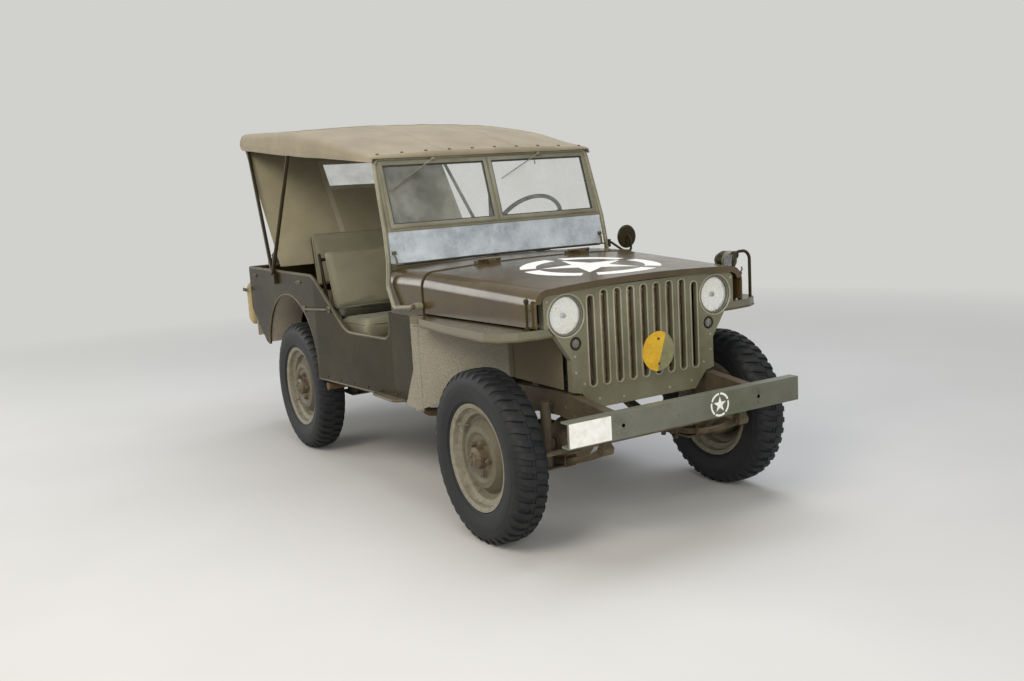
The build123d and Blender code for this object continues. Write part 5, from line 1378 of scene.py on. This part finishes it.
def makeFinTree():
    # upright fins in a row across the car
    tree, put = openTree("radiatorFins", [("Fins", "Int", 60), ("Pitch", "Float", 0.01), ("Size", "Vector", (0.004, 0.001, 0.4))])
    fin = addNode(tree, "GeometryNodeMeshCube", {"Size": put["Size"]})
    row = addNode(tree, "GeometryNodeMeshLine", {"Count": put["Fins"],
        "Offset": addNode(tree, "ShaderNodeCombineXYZ", {"Y": put["Pitch"]})}, mode="OFFSET")
    line = addNode(tree, "GeometryNodeInstanceOnPoints", {"Points": row, "Instance": fin})
    points = addNode(tree, "GeometryNodeMeshToPoints", {"Mesh": put["Geometry"]})
    return closeTree(tree, put, addNode(tree, "GeometryNodeInstanceOnPoints", {"Points": points, "Instance": line}))


radiatorLow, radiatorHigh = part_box("radiator")
coreLook = {"pitch": 0.0075, "thick": 0.0016, "deep": 0.006, "tubes": 13, "shroud": (0.234, 0.352)}


def makeCore():
    low, high = Vector(radiatorLow), Vector(radiatorHigh)
    half = min(-low.y, high.y) - 0.022
    count = int(2 * half / coreLook["pitch"])
    mesh = bpy.data.meshes.new("radiatorFins")
    tall = (high.z - 0.030) - (low.z + 0.020)
    mesh.from_pydata([(high.x + coreLook["deep"] / 2 - 0.0006, -half, low.z + 0.020 + tall / 2)], [], [])
    # the core's finish is painted paler as painted light, since it stands in shade behind the slots
    fins = grown("radiatorFins", mesh, makeFinTree(), "solderedCore",
        {"Fins": count, "Pitch": coreLook["pitch"], "Size": (coreLook["deep"], coreLook["thick"], tall)})
    dressPiece("radiatorFins", fins, "solderedCore", "radiator", 30.0)
    bm, shroudBm = bmesh.new(), bmesh.new()
    for k in range(coreLook["tubes"]):
        z = low.z + 0.03 + (tall - 0.02) * k / (coreLook["tubes"] - 1)
        addBlock(bm, (high.x - 0.0005, -half, z - 0.0012), (high.x + coreLook["deep"] + 0.0008, half, z + 0.0012), 0)
    # shrouds closing the gaps beside the core
    for side in (1, -1):
        near, far = coreLook["shroud"]
        addBlock(shroudBm, (high.x - 0.022, side * near, low.z + 0.01), (high.x - 0.018, side * far, high.z - 0.02), 0)
    finishPiece("radiatorShrouds", shroudBm, "oiledCastIron", "radiator", 30.0)
    # top tank's rim
    addBlock(bm, (high.x - 0.002, -half - 0.012, high.z - 0.034), (high.x + 0.010, half + 0.012, high.z - 0.022), 0.003)
    finishPiece("radiatorCore", bm, "solderedCore", "radiator", 30.0)


makeCore()
print("front end made")

# rolled edges of the tub and fenders

tub = {  # outside half width of the tub along it, and the places of its openings
    "plan": [(0.622, 0.606), (0.282, 0.618), (-0.488, 0.700), (-1.518, 0.718)],
    "edge": [(-1.511, 1.006, 0.0), (-0.498, 1.006, 0.110), (-0.168, 0.735, 0.170), (0.270, 0.735, 0.060), (0.270, 0.868, 0.0)],
    "arch": (-0.886, 0.500, 0.384),
    "wall": 0.007,
    "tubes": {"rail": 0.0088, "lip": 0.0056, "sill": 0.0062},  # radii of the rolled edges
    "sillZ": 0.4575,
}


def tubHalf(x):
    for (x0, h0), (x1, h1) in zip(tub["plan"], tub["plan"][1:]):
        if x >= x1:
            return h0 + (h1 - h0) * (x0 - x) / (x0 - x1)
    return tub["plan"][-1][1]


def filleted(rows, steps=10):
    # (x, z, corner radius) rows to (x, z) points
    result = [rows[0][:2]]
    for before, corner, after in zip(rows, rows[1:], rows[2:]):
        here = Vector(corner[:2])
        first, second = (Vector(before[:2]) - here).normalized(), (Vector(after[:2]) - here).normalized()
        half = first.angle(second) / 2
        reach = corner[2] / tan(half)
        centre = here + (first + second).normalized() * corner[2] / sin(half)
        start, end = here + first * reach - centre, here + second * reach - centre
        sweep = start.angle_signed(end)
        for k in range(steps + 1):
            a = -sweep * k / steps
            result.append(tuple(centre + Vector((start.x * cos(a) - start.y * sin(a), start.x * sin(a) + start.y * cos(a)))))
    result.append(rows[-1][:2])
    return result


def makeTubEdges():
    bm = bmesh.new()
    arch = tub["arch"]
    for side in (1, -1):
        rail = [(x, side * (tubHalf(x) - tub["wall"]), z) for x, z in filleted(tub["edge"])]
        addTube(bm, rail, tub["tubes"]["rail"], 12)
        turns = [radians(-6.5 + 177.0 * k / 36) for k in range(37)]
        lip = [(arch[0] + arch[2] * cos(a), side * (tubHalf(arch[0] + arch[2] * cos(a)) - 0.004),
            arch[1] + arch[2] * sin(a)) for a in turns]
        addTube(bm, lip, tub["tubes"]["lip"], 10)
        sill = [(x, side * (tubHalf(x) - 0.005), tub["sillZ"]) for x in (0.398, 0.282, 0.0, -0.25, -0.488, -0.500)]
        addTube(bm, sill, tub["tubes"]["sill"], 10)
    rear = [(-1.511, -0.706, 1.006), (-1.511, 0.706, 1.006)]
    addTube(bm, rear, tub["tubes"]["rail"], 12)
    # the rolled edges take the paler brown enamel: rust, and a painted highlight along their rounded rims
    finishPiece("tubEdges", bm, "wornBrownEnamel", "body_sides", 40.0)


fender = {
    # plan of the lip: place, distance out, corner radius
    "plan": [(0.642, 0.668, 0.0), (0.682, 0.664, 0.03), (0.977, 0.686, 0.2), (1.292, 0.688, 0.06),
             (1.358, 0.662, 0.04), (1.394, 0.600, 0.04), (1.408, 0.500, 0.04), (1.408, 0.442, 0.0)],
    "lipZ": 0.8465,
    "bead": 0.0042,
}


def makeFenderBeads():
    # wire edge along the bottom of each fender's lip
    bm = bmesh.new()
    line = filleted(fender["plan"], 6)
    for side in (1, -1):
        addTube(bm, [(x, side * (y - 0.001), fender["lipZ"]) for x, y in line], fender["bead"], 10)
    finishPiece("fenderBeads", bm, "wornBrownEnamel", "front_fenders", 40.0)
    bm = bmesh.new()
    for side in (1, -1):
        addBlock(bm, (0.982, side * 0.3812, 0.622), (0.998, side * 0.3850, 0.842), 0.0012)
        # joint strip where the slanted apron meets the skirt
        addBlock(bm, (0.549, side * 0.6250, 0.700), (0.570, side * 0.6290, 0.842), 0.0012)
    finishPiece("apronSeams", bm, "driedRoadMud", "front_fenders", 40.0)


# grille rims: the pressed edge round each slot

grille = {"face": 1.412, "pitch": 0.0666, "half": 0.015, "low": 0.625, "top": 1.004, "outerTop": 0.988}


def makeSlotRims():
    bm = bmesh.new()
    reach = grille["half"] + 0.0030
    for index in range(-4, 5):
        y = index * grille["pitch"]
        low, top = grille["low"] + grille["half"], (grille["outerTop"] if abs(index) == 4 else grille["top"]) - grille["half"]
        path = [(grille["face"] + 0.0004, y + reach * cos(a), top + reach * sin(a)) for a in [pi * k / 10 for k in range(11)]]
        path += [(grille["face"] + 0.0004, y - reach * cos(a), low - reach * sin(a)) for a in [pi * k / 10 for k in range(11)]]
        addTube(bm, path, 0.0036, 8, closed=True)
    # rim pressed round each head lamp opening
    for side in (1, -1):
        path = [(grille["face"] + 0.0002, side * 0.383 + 0.0855 * cos(a),
            0.921 + 0.0855 * sin(a)) for a in [2 * pi * k / 56 for k in range(56)]]
        addTube(bm, path, 0.0038, 8, closed=True)
    finishPiece("slotRims", bm, "chalkedOliveEnamel", "grille", 50.0)


makeTubEdges()
makeFenderBeads()
makeSlotRims()

# windscreen: pane frames, seals, wipers, clamps

screen = {"foot": 1.240, "footX": 0.301, "top": 1.577, "topX": 0.195, "low": 1.268, "high": 1.552, "inner": 0.017, "outer": 0.572}
screenUp = Vector((screen["topX"] - screen["footX"], 0, screen["top"] - screen["foot"])).normalized()
screenOut = Vector((screenUp.z, 0, -screenUp.x))


def onScreen(y, z, out=0.0):
    t = (z - screen["foot"]) / (screen["top"] - screen["foot"])
    return Vector((screen["footX"] + (screen["topX"] - screen["footX"]) * t, y, z)) + screenOut * out


def addRing(bm, outer, inner, normal, thick, bevel=0.0012):
    # flat frame between two outlines of four corners
    before = set(bm.verts)
    layers = [[[bm.verts.new(p + normal * lift) for p in ring] for ring in (outer, inner)] for lift in (0.0, thick)]
    (lowOut, lowIn), (highOut, highIn) = layers
    joinRings(bm, [highOut, highIn, lowIn, lowOut, highOut])
    edges = {edge for vert in bm.verts if vert not in before for edge in vert.link_edges}
    bmesh.ops.bevel(bm, geom=list(edges), offset=bevel, segments=2, profile=0.5, affect="EDGES", clamp_overlap=True)


def paneCorners(side, grow, out):
    low, high = screen["low"] - grow, screen["high"] + grow
    inner, outer = side * (screen["inner"] - grow), side * (screen["outer"] + grow)
    return [onScreen(inner, low, out), onScreen(outer, low, out), onScreen(outer, high, out), onScreen(inner, high, out)]


def makePaneFrames():
    frames, seals = bmesh.new(), bmesh.new()
    for side in (1, -1):
        for out, way in ((0.0046, 1), (-0.0046, -1)):
            addRing(frames, paneCorners(side, 0.0125, out), paneCorners(side, -0.0055, out), screenOut * way, 0.0048)
            addRing(seals, paneCorners(side, 0.0, out * 0.56), paneCorners(side, -0.0105, out * 0.56), screenOut * way,
                0.0030, 0.0008)
    # sill rail under the panes and the centre post's cover
    outer, inner = ([onScreen(y, z, 0.0046) for y, z in ((-half, low), (half, low), (half, high), (-half, high))]
        for half, low, high in ((0.598, 1.2425, 1.2552), (0.592, 1.2455, 1.2522)))
    addRing(frames, outer, inner, screenOut, 0.0030, 0.0010)
    finishPiece("paneFrames", frames, "paleOliveEnamel", "windscreen_frame")
    finishPiece("paneSeals", seals, "mouldedEbonite", "windscreen_frame")
    # slotted screws in the pane frames
    rows = []
    for side in (1, -1):
        for k in range(7):
            y = side * (screen["inner"] + 0.020 + (screen["outer"] - screen["inner"] - 0.040) * k / 6)
            for z in (screen["low"] - 0.0045, screen["high"] + 0.0045):
                rows.append((onScreen(y, z, 0.0094), screenOut))
    addStuds("paneScrews", rows, "turnedBareSteel", "windscreen_frame", 0.0030, 0.0012, 12, 0.7)


# pivot, tip: distance to the left and height
wipers = [((-0.300, 1.5665), (-0.552, 1.4300)), ((0.300, 1.5665), (0.066, 1.4560))]


def makeWipers():
    arms, blades = bmesh.new(), bmesh.new()
    for (y0, z0), (y1, z1) in wipers:
        pivot, tip = onScreen(y0, z0, 0.010), onScreen(y1, z1, 0.010)
        addTurned(arms, [(-0.004, 0), (-0.004, 0.0100), (0.006, 0.0100), (0.010, 0.0070), (0.014, 0.0070), (0.014, 0)], pivot,
            screenOut, 20)
        middle = pivot.lerp(tip, 0.62)
        addTube(arms, [pivot + screenOut * 0.010, pivot.lerp(tip, 0.12) + screenOut * 0.014,
            middle + screenOut * 0.009], 0.0026, 8)
        addTube(arms, [middle + screenOut * 0.010, middle + screenOut * 0.002], 0.0034, 8)
        start = pivot.lerp(tip, 0.20)
        addStrap(arms, [point + screenOut * 0.0005 for point in (start, middle, tip)], screenOut, 0.0050, 0.0052)
        addStrap(blades, [point - screenOut * 0.0060 for point in (start, middle, tip)], screenOut, 0.0080, 0.0030)
        # hand crank behind the glass
        inside = onScreen(y0, z0, -0.010)
        addTube(arms, [inside, inside - screenOut * 0.016, inside - screenOut * 0.018 + screenUp * -0.040], 0.0030, 8)
    finishPiece("wiperArms", arms, "paleOliveEnamel", "windscreen_frame")
    finishPiece("wiperBlades", blades, "mouldedEbonite", "windscreen_frame")


def makeScreenClamps():
    bm = bmesh.new()
    for side in (1, -1):
        # clamp nut and lever on each pivot of the frame, and the catch at the cowl's top edge
        place = (0.602, side * 0.640, 0.922)
        addTurned(bm, [(0, 0), (0, 0.0150), (0.006, 0.0150), (0.006, 0.0090), (0.014, 0.0090), (0.016, 0.0070), (0.016, 0)],
            place, (0, side, 0), 6)
        addTube(bm, [(0.602, side * 0.650, 0.922), (0.576, side * 0.652, 0.906), (0.560, side * 0.652, 0.904)], 0.0040, 8)
        addBlock(bm, (0.322, side * 0.560, 1.0905), (0.362, side * 0.598, 1.0965), 0.0015)
        addTube(bm, [(0.340, side * 0.585, 1.096), (0.335, side * 0.587, 1.122), (0.318, side * 0.588, 1.142)], 0.0046, 10)
        addTurned(bm, [(-0.010, 0), (-0.010, 0.0090), (0.010, 0.0090), (0.010, 0)], (0.317, side * 0.588, 1.146), (0, 1, 0), 14)
    finishPiece("screenClamps", bm, "wornBrownEnamel", "windscreen_frame", 32.0)
    # rubber strip under the windscreen
    bm = bmesh.new()
    addTube(bm, [(0.318, -0.585, 1.0900), (0.318, -0.3, 1.0935), (0.318, 0.0, 1.0945), (0.318, 0.3, 1.0935),
        (0.318, 0.585, 1.0900)], 0.0062, 10)
    finishPiece("screenFootSeal", bm, "mouldedEbonite", "windscreen_frame", 40.0)


makePaneFrames()
makeWipers()
makeScreenClamps()
print("windscreen dressed")

# fittings of the body


def makeSideFittings():
    bm = bmesh.new()
    for side in (1, -1):
        # bar along the side ahead of the wheel arch, on two feet
        y0 = side * (tubHalf(-0.640) + 0.012)
        y1 = side * (tubHalf(-0.330) + 0.012)
        bar = rounded([(-0.640, side * tubHalf(-0.640), 0.822), (-0.634, y0, 0.822), (-0.334, y1, 0.840),
            (-0.328, side * tubHalf(-0.330), 0.840)], 0.010, 4)
        addTube(bm, bar, 0.0070, 10)
        for x, z in ((-0.640, 0.822), (-0.328, 0.840)):
            y = side * tubHalf(x)
            addBlock(bm, (x - 0.022, y, z - 0.016), (x + 0.022, y + side * 0.004, z + 0.016), 0.0014)
        # loops for straps along the rail behind the seats
        for x in (-0.700, -1.420):
            y = side * (tubHalf(x) + 0.0005)
            loop = rounded([(x - 0.020, y, 0.962), (x - 0.020, y + side * 0.012, 0.962), (x + 0.020, y + side * 0.012, 0.962),
                (x + 0.020, y, 0.962)], 0.006, 3)
            addTube(bm, loop, 0.0028, 8)
            addBlock(bm, (x - 0.030, y, 0.952), (x + 0.030, y + side * 0.002, 0.972), 0.0008)
    finishPiece("sideHandles", bm, "wornBrownEnamel", "body_sides", 40.0)
    # step at the foot of the right side
    bm = bmesh.new()
    rim = filleted([(0.120, -0.634, 0.0), (0.128, -0.668, 0.020), (0.360, -0.668, 0.034), (0.388, -0.622, 0.0)], 6)
    addPlate(bm, [(x, y, 0.462) for x, y in rim], (0, 0, 1), 0.004)
    addTube(bm, [(x, y, 0.462) for x, y in rim], 0.0068, 10)
    finishPiece("sideStep", bm, "wornBrownEnamel", "body_sides", 40.0)


# name, node, places along the car, distances out
hingeScrews = [
    ("hingeScrewsHood", "hood", (0.632, 0.6435), (0.238, 0.262)),
    ("hingeScrewsCowl", "cowl", (0.585, 0.596), (0.205, 0.222, 0.278, 0.295)),
]


def makeHoodFittings():
    bm = bmesh.new()
    for side in (1, -1):
        # catch hook on the hood's side, over the rod's grip
        addBlock(bm, (1.366, side * 0.5318, 0.960), (1.406, side * 0.5450, 0.984), 0.0020)
        addTube(bm, [(1.390, side * 0.548, 0.995), (1.402, side * 0.552, 1.010), (1.398, side * 0.553, 1.022)], 0.0034, 8)
    finishPiece("hoodCatchHooks", bm, "wornBrownEnamel", "hood", 32.0)
    for name, node, xs, ys in hingeScrews:
        rows = [((x, side * y, 1.0962), (0, 0, 1)) for side in (1, -1) for x in xs for y in ys]
        addStuds(name, rows, "wornBrownEnamel", node, 0.0042, 0.0018, 14, 0.6)


boltPlaces = {  # along the car or out, then height
    "bumper": [(0.336, 0.500), (0.362, 0.500), (0.336, 0.548), (0.362, 0.548)],
    "grille": [(0.468, 0.900), (0.470, 0.985), (0.350, 0.755), (0.348, 0.690), (0.310, 0.640), (0.240, 0.570), (0.120, 0.560)],
    "apron": [(0.590, 0.850), (0.588, 0.800), (0.584, 0.740), (0.576, 0.690), (0.546, 0.640), (0.516, 0.590), (0.486, 0.545),
            (0.456, 0.500)],
    "sill": [(x, 0.478) for x in (0.30, 0.16, 0.02, -0.12, -0.26, -0.40)],
    "frame": [(1.60, 0.500), (1.60, 0.535), (1.54, 0.510), (1.42, 0.520), (1.36, 0.545), (1.05, 0.560), (0.86, 0.500),
              (0.60, 0.462), (0.35, 0.485), (0.35, 0.440), (0.10, 0.485), (0.10, 0.440), (-0.20, 0.485), (-0.20, 0.440)],
}
bumperFace = 1.686


def makeBolts():
    # bumper: two open holes and two bright rivets, four bolts into the frame horns
    ahead = (1, 0, 0)
    addStuds("bumperRivets", [((bumperFace, y, z), ahead) for y, z in ((-0.063, 0.516), (0.497, 0.519))],
        "turnedBareSteel", "front_bumper", 0.0065, 0.0022, 16, 0.5)
    addStuds("bumperHoles", [((bumperFace - 0.0012, y, z), ahead) for y, z in ((-0.333, 0.525), (0.356, 0.5245))],
        "mouldedEbonite", "front_bumper", 0.0080, 0.0012, 20, 0.98)
    rows = [((bumperFace, side * y, z), ahead) for side in (1, -1) for y, z in boltPlaces["bumper"]]
    addStuds("bumperBolts", rows, "fadedOliveEnamel", "front_bumper", 0.0085, 0.0050, 6, 0.86)
    rows = [((1.4122, side * y, z), ahead) for side in (1, -1) for y, z in boltPlaces["grille"]]
    addStuds("grilleBolts", rows, "chalkedOliveEnamel", "grille", 0.0062, 0.0036, 6, 0.85)
    rows = [((x, side * (tubHalf(x) + 0.0002), z), (0, side, 0))
        for group in ("apron", "sill") for side in (1, -1) for x, z in boltPlaces[group]]
    addStuds("bodyBolts", rows, "brushedOliveEnamel", "body_sides", 0.0062, 0.0030, 10, 0.6)
    rows = [((x, side * 0.3712, z), (0, side, 0)) for side in (1, -1) for x, z in boltPlaces["frame"]]
    addStuds("frameRivets", rows, "rustedChassisEnamel", "frame", 0.0080, 0.0045, 14, 0.5)
    turns = [2 * pi * k / 5 + 0.35 for k in range(5)]
    circle = wheelNut["circle"]
    rows = [((-1.6420, -0.240 + circle * sin(a), 0.850 + circle * cos(a)), (-1, 0, 0)) for a in turns]
    addStuds("spareNuts", rows, "dustyRimEnamel", "spare_rim", 0.0125, 0.0150, 6, 0.86)


makeSideFittings()
makeHoodFittings()
makeBolts()
print("body fittings made")

# springs: leaves, clips and bolts on the plain packs

springs = {  # axle x, eyes fore and aft of it, their heights, width
    "front": (1.162, 0.425, -0.430, 0.400, 0.400),
    "rear": (-0.870, 0.420, -0.430, 0.380, 0.425),
}
springPack = {"y": 0.3485, "width": 0.0445, "low": 0.288, "thick": 0.026, "leaves": 7}


def springHeight(row, x):
    # underside of the pack: a curve through both eyes and the axle's seat
    axle, fore, aft, foreZ, aftZ = row
    t = x - axle
    reach, end = (fore, foreZ) if t > 0 else (aft, aftZ)
    return springPack["low"] + (end - springPack["low"]) * (t / reach) ** 2


def makeLeaves():
    bm, bolts = bmesh.new(), bmesh.new()
    redRows, boltRows = [], []
    for row in springs.values():
        axle, fore, aft, foreZ, aftZ = row
        for side in (1, -1):
            y = side * springPack["y"]
            for k in range(springPack["leaves"]):
                share = 0.95 - 0.115 * k
                drop = -0.0002 - 0.0035 * k
                points = []
                for i in range(25):
                    x = axle + (aft + (fore - aft) * i / 24) * share
                    points.append((x, y, springHeight(row, x) + 0.0225 + drop))
                addStrap(bm, points, (0, 1, 0), springPack["width"] + 0.0012, 0.0030)
            for share in (0.42, -0.42):
                x = axle + (fore if share > 0 else aft) * abs(share)
                z = springHeight(row, x) + 0.012
                ring = [(x, y + sy * 0.0262, z + sz * 0.020) for sy, sz in ((-1, -1), (1, -1), (1, 1), (-1, 1))]
                addTube(bolts, rounded(ring + [ring[0]], 0.005, 3), 0.0040, 8)
            # U bolts over the axle's tube, nuts below the plate
            for step in (-0.044, 0.044):
                loop = [(axle + step, y - 0.031, 0.282)] + [(axle + step, y + 0.031 * cos(a),
                    0.370 + 0.031 * sin(a)) for a in [pi - pi * i / 8 for i in range(9)]] + [(axle + step,
                            y + 0.031, 0.282)]
                addTube(bolts, loop, 0.0056, 8)
                for sy in (-0.031, 0.031):
                    boltRows.append(((axle + step, y + sy, 0.2740), (0, 0, -1)))
            for x, z in ((axle + fore, foreZ), (axle + aft, aftZ)):
                boltRows.append(((x, y + side * 0.0245, z + 0.013), (0, side, 0)))
                (redRows if side < 0 and x > 1.5 else boltRows).append(((x, y - side * 0.0245, z + 0.013), (0, -side, 0)))
    finishPiece("springLeaves", bm, "dustyChassisEnamel", "suspension")
    finishPiece("springClips", bolts, "rustedForgedSteel", "suspension")
    addStuds("springBolts", boltRows, "rustedForgedSteel", "suspension", 0.0115, 0.0100, 6, 0.86)
    addStuds("greasedBolts", redRows, "brushedRed", "suspension", 0.0115, 0.0100, 6, 0.86)


makeLeaves()
print("springs dressed")

# dash, levers and mirror

gauges = [(0.000, 1.012, 0.044), (0.092, 1.034, 0.026), (0.092, 0.982, 0.026), (-0.092, 1.034, 0.026), (-0.092, 0.982, 0.026)]


def makeDash():
    rims, faces, hands = bmesh.new(), bmesh.new(), bmesh.new()
    for y, z, radius in gauges:
        place = (0.300, y, z)
        addTurned(rims, [(0.0, radius - 0.006), (0.006, radius - 0.005), (0.008, radius - 0.002), (0.007, radius),
            (0.0, radius + 0.001), (-0.002, radius + 0.001), (-0.002, radius - 0.006)],
              place, (-1, 0, 0), 36)
        addTurned(faces, [(0.0, 0), (0.0, radius - 0.0055), (0.0018, radius - 0.0055), (0.0018, 0)], place, (-1, 0, 0), 36)
        addStrap(hands, [(0.2976, y, z), (0.2976, y + (radius - 0.012) * 0.7, z - (radius - 0.012) * 0.7)], (0, 0.7, 0.7),
            0.0018, 0.0008)
        for k in range(9):
            a = radians(-130 + 260 * k / 8)
            spot = Vector((0.2978, y + sin(a) * (radius - 0.010), z + cos(a) * (radius - 0.010)))
            addBlock(hands, spot - Vector((0.0004, 0.0010, 0.0010)), spot + Vector((0.0004, 0.0010, 0.0010)), 0.0)
    finishPiece("gaugeRims", rims, "wornBrownEnamel", "cowl")
    finishPiece("gaugeFaces", faces, "mouldedEbonite", "cowl")
    finishPiece("gaugeHands", hands, "stencilledWhite", "cowl")
    rows = [((0.2998, y, 0.966), (-1, 0, 0)) for y in (0.170, 0.205, -0.165, -0.200)]
    addStuds("dashKnobs", rows, "mouldedEbonite", "cowl", 0.0090, 0.0160, 18, 0.8)


# levers from the floor: foot, bend, top
levers = [((0.236, 0.020, 0.522), (0.214, 0.024, 0.700), (0.110, 0.030, 0.872)),
          ((0.150, -0.060, 0.522), (0.146, -0.060, 0.640), (0.106, -0.060, 0.742)),
          ((0.150, -0.100, 0.522), (0.146, -0.100, 0.640), (0.120, -0.100, 0.736))]
pedals = [(0.470, 0.222), (0.470, 0.420)]


def makeControls():
    rods, knobs = bmesh.new(), bmesh.new()
    for foot, bend, top in levers:
        addTube(rods, rounded([foot, bend, top], 0.06, 6), 0.0062, 10)
        addTurned(rods, [(0.0, 0.030), (0.006, 0.030), (0.030, 0.012), (0.030, 0.0)], foot, (0, 0, 1), 24)
        addTurned(knobs, [(-0.006, 0.0)] + [(0.012 + 0.017 * sin(a),
            0.017 * cos(a)) for a in [radians(v) for v in (-60, -30, 0, 30, 60)]] + [(0.029, 0.0)], top,
                    (0, 0, 1), 20)
    for x, y in pedals:
        addTube(rods, rounded([(x, y, 0.524), (x - 0.012, y, 0.600), (x - 0.050, y, 0.672)], 0.03, 4), 0.0075, 10)
        turn = Matrix.Translation((x - 0.052, y, 0.676)) @ Matrix.Rotation(radians(-38), 4, "Y")
        addBlock(knobs, (-0.005, -0.030, -0.026), (0.005, 0.030, 0.026), 0.003, turn)
    addBlock(rods, (0.452, 0.478, 0.524), (0.486, 0.512, 0.534), 0.002)
    addTube(rods, [(0.470, 0.495, 0.530), (0.440, 0.495, 0.590), (0.432, 0.495, 0.622)], 0.0120, 12)
    finishPiece("leverRods", rods, "brushedOliveEnamel", "body_floor")
    finishPiece("leverKnobs", knobs, "mouldedEbonite", "body_floor")
    bm = bmesh.new()
    addTurned(bm, [(0.0, 0.0), (0.0, 0.0535), (0.0012, 0.0535), (0.0012, 0.0)], (0.3968, 0.700, 1.121), (-1, 0, 0), 48)
    finishPiece("mirrorGlass", bm, "silveredGlass", "mirror", 30.0)


makeDash()
makeControls()
print("dash and levers made")
# camera, floor and light

cameraLook = {"place": (4.7203, -2.6063, 1.4759), "azimuth": 59.176, "elevation": 9.117, "roll": -3.383, "lens": 36.44}
backdropLook = {"colour": "#d6d6d3", "strength": 0.95, "near": 2.6, "far": 7.5}


def placeCamera():
    azimuth, elevation, roll = (radians(cameraLook[key]) for key in ("azimuth", "elevation", "roll"))
    back = Vector((sin(azimuth) * cos(elevation), -cos(azimuth) * cos(elevation), sin(elevation)))
    level = (-back).cross(Vector((0, 0, 1))).normalized()
    upright = level.cross(-back)
    right = cos(roll) * level + sin(roll) * upright
    up = -sin(roll) * level + cos(roll) * upright
    data = bpy.data.cameras.new("photoCamera")
    data.sensor_width, data.sensor_fit, data.lens = 36.0, "HORIZONTAL", cameraLook["lens"]
    camera = helperObject("photoCamera", data)
    turn = Matrix((right, up, back)).transposed().to_4x4()
    camera.matrix_world = Matrix.Translation(cameraLook["place"]) @ turn
    bpy.context.scene.camera = camera


def addLamp(name, place, target, size, power, tint):
    data = bpy.data.lights.new(name, "AREA")
    data.energy, data.size, data.color = power, size, hexColour(tint)[:3]
    lamp = helperObject(name, data)
    direction = Vector(target) - Vector(place)
    lamp.matrix_world = Matrix.Translation(place) @ direction.to_track_quat("-Z", "Y").to_matrix().to_4x4()


def makeBackdrop(tree, kind, look):
    # the shade the camera sees, straight or in a mirror or a pane, and how far it counts
    path = addNode(tree, "ShaderNodeLightPath").node.outputs
    seen = addNode(tree, "ShaderNodeMath", {0: path["Is Camera Ray"], 1: path["Is Glossy Ray"]}, operation="MAXIMUM")
    return addNode(tree, kind, look), addNode(tree, "ShaderNodeMath", {0: seen, 1: path["Is Transmission Ray"]},
        operation="MAXIMUM")


lamps = [  # name, place, what it points at, size, power, tint
    ("keyLight", (3.0, -5.0, 5.0), (0.2, 0.0, 0.8), 3.0, 230, "#fff4e4"),
    ("frontLight", (7.0, -2.0, 2.6), (1.2, 0.0, 0.8), 3.0, 170, "#fbfaf6"),
    ("skyLight", (-0.5, 1.0, 6.0), (0.0, 0.0, 0.8), 4.5, 230, "#f2f5ff"),
    ("fillLight", (-5.0, -5.0, 2.6), (-0.6, 0.0, 0.9), 3.5, 190, "#f4f4f2"),
]


def makeStage():
    bm = bmesh.new()
    bmesh.ops.create_grid(bm, x_segments=1, y_segments=1, size=30.0)
    floor = helperObject("studioFloor", rawMesh(bm, "studioFloor"))
    # painted studio floor: matt, with the faint marks of a mop
    material, tree, shader, place = newMaterial("mattStudioPaint", {"Roughness": 0.75})
    mopped = addNode(tree, "ShaderNodeTexNoise", {"Vector": place, "Scale": 1.2, "Detail": 3.0})
    tree.links.new(addNode(tree, "ShaderNodeMix", {0: mopped, 6: hexColour("#c9c8c4"), 7: hexColour("#d4d3cf")}, 2,
        data_type="RGBA"), shader.inputs["Base Color"])
    # the floor fades into the backdrop's own colour away from the car
    away = addNode(tree, "ShaderNodeVectorMath", {0: place}, "Value", operation="LENGTH")
    faded = addNode(tree, "ShaderNodeMapRange", {"Value": away, "From Min": backdropLook["near"],
        "From Max": backdropLook["far"]})
    shade = {"Color": hexColour(backdropLook["colour"]), "Strength": backdropLook["strength"]}
    pale, seen = makeBackdrop(tree, "ShaderNodeEmission", shade)
    share = addNode(tree, "ShaderNodeMath", {0: seen, 1: faded}, operation="MULTIPLY")
    both = addNode(tree, "ShaderNodeMixShader", {0: share, 1: shader.outputs[0], 2: pale})
    sheet = next(node for node in tree.nodes if node.type == "OUTPUT_MATERIAL")
    tree.links.new(both, sheet.inputs["Surface"])
    floor.data.materials.append(material)
    world = bpy.data.worlds.new("softRoom")
    bpy.context.scene.world = world
    world.use_nodes = True
    tree = world.node_tree
    tree.nodes.clear()
    pale, seen = makeBackdrop(tree, "ShaderNodeBackground", shade)
    soft = addNode(tree, "ShaderNodeBackground", {"Color": hexColour("#dfe3ea"), "Strength": 0.42})
    addNode(tree, "ShaderNodeOutputWorld", {0: addNode(tree, "ShaderNodeMixShader", {0: seen, 1: soft, 2: pale})})
    for lamp in lamps:
        addLamp(*lamp)
    bpy.context.scene.view_settings.view_transform = "Standard"


placeCamera()
makeStage()
print("stage set")
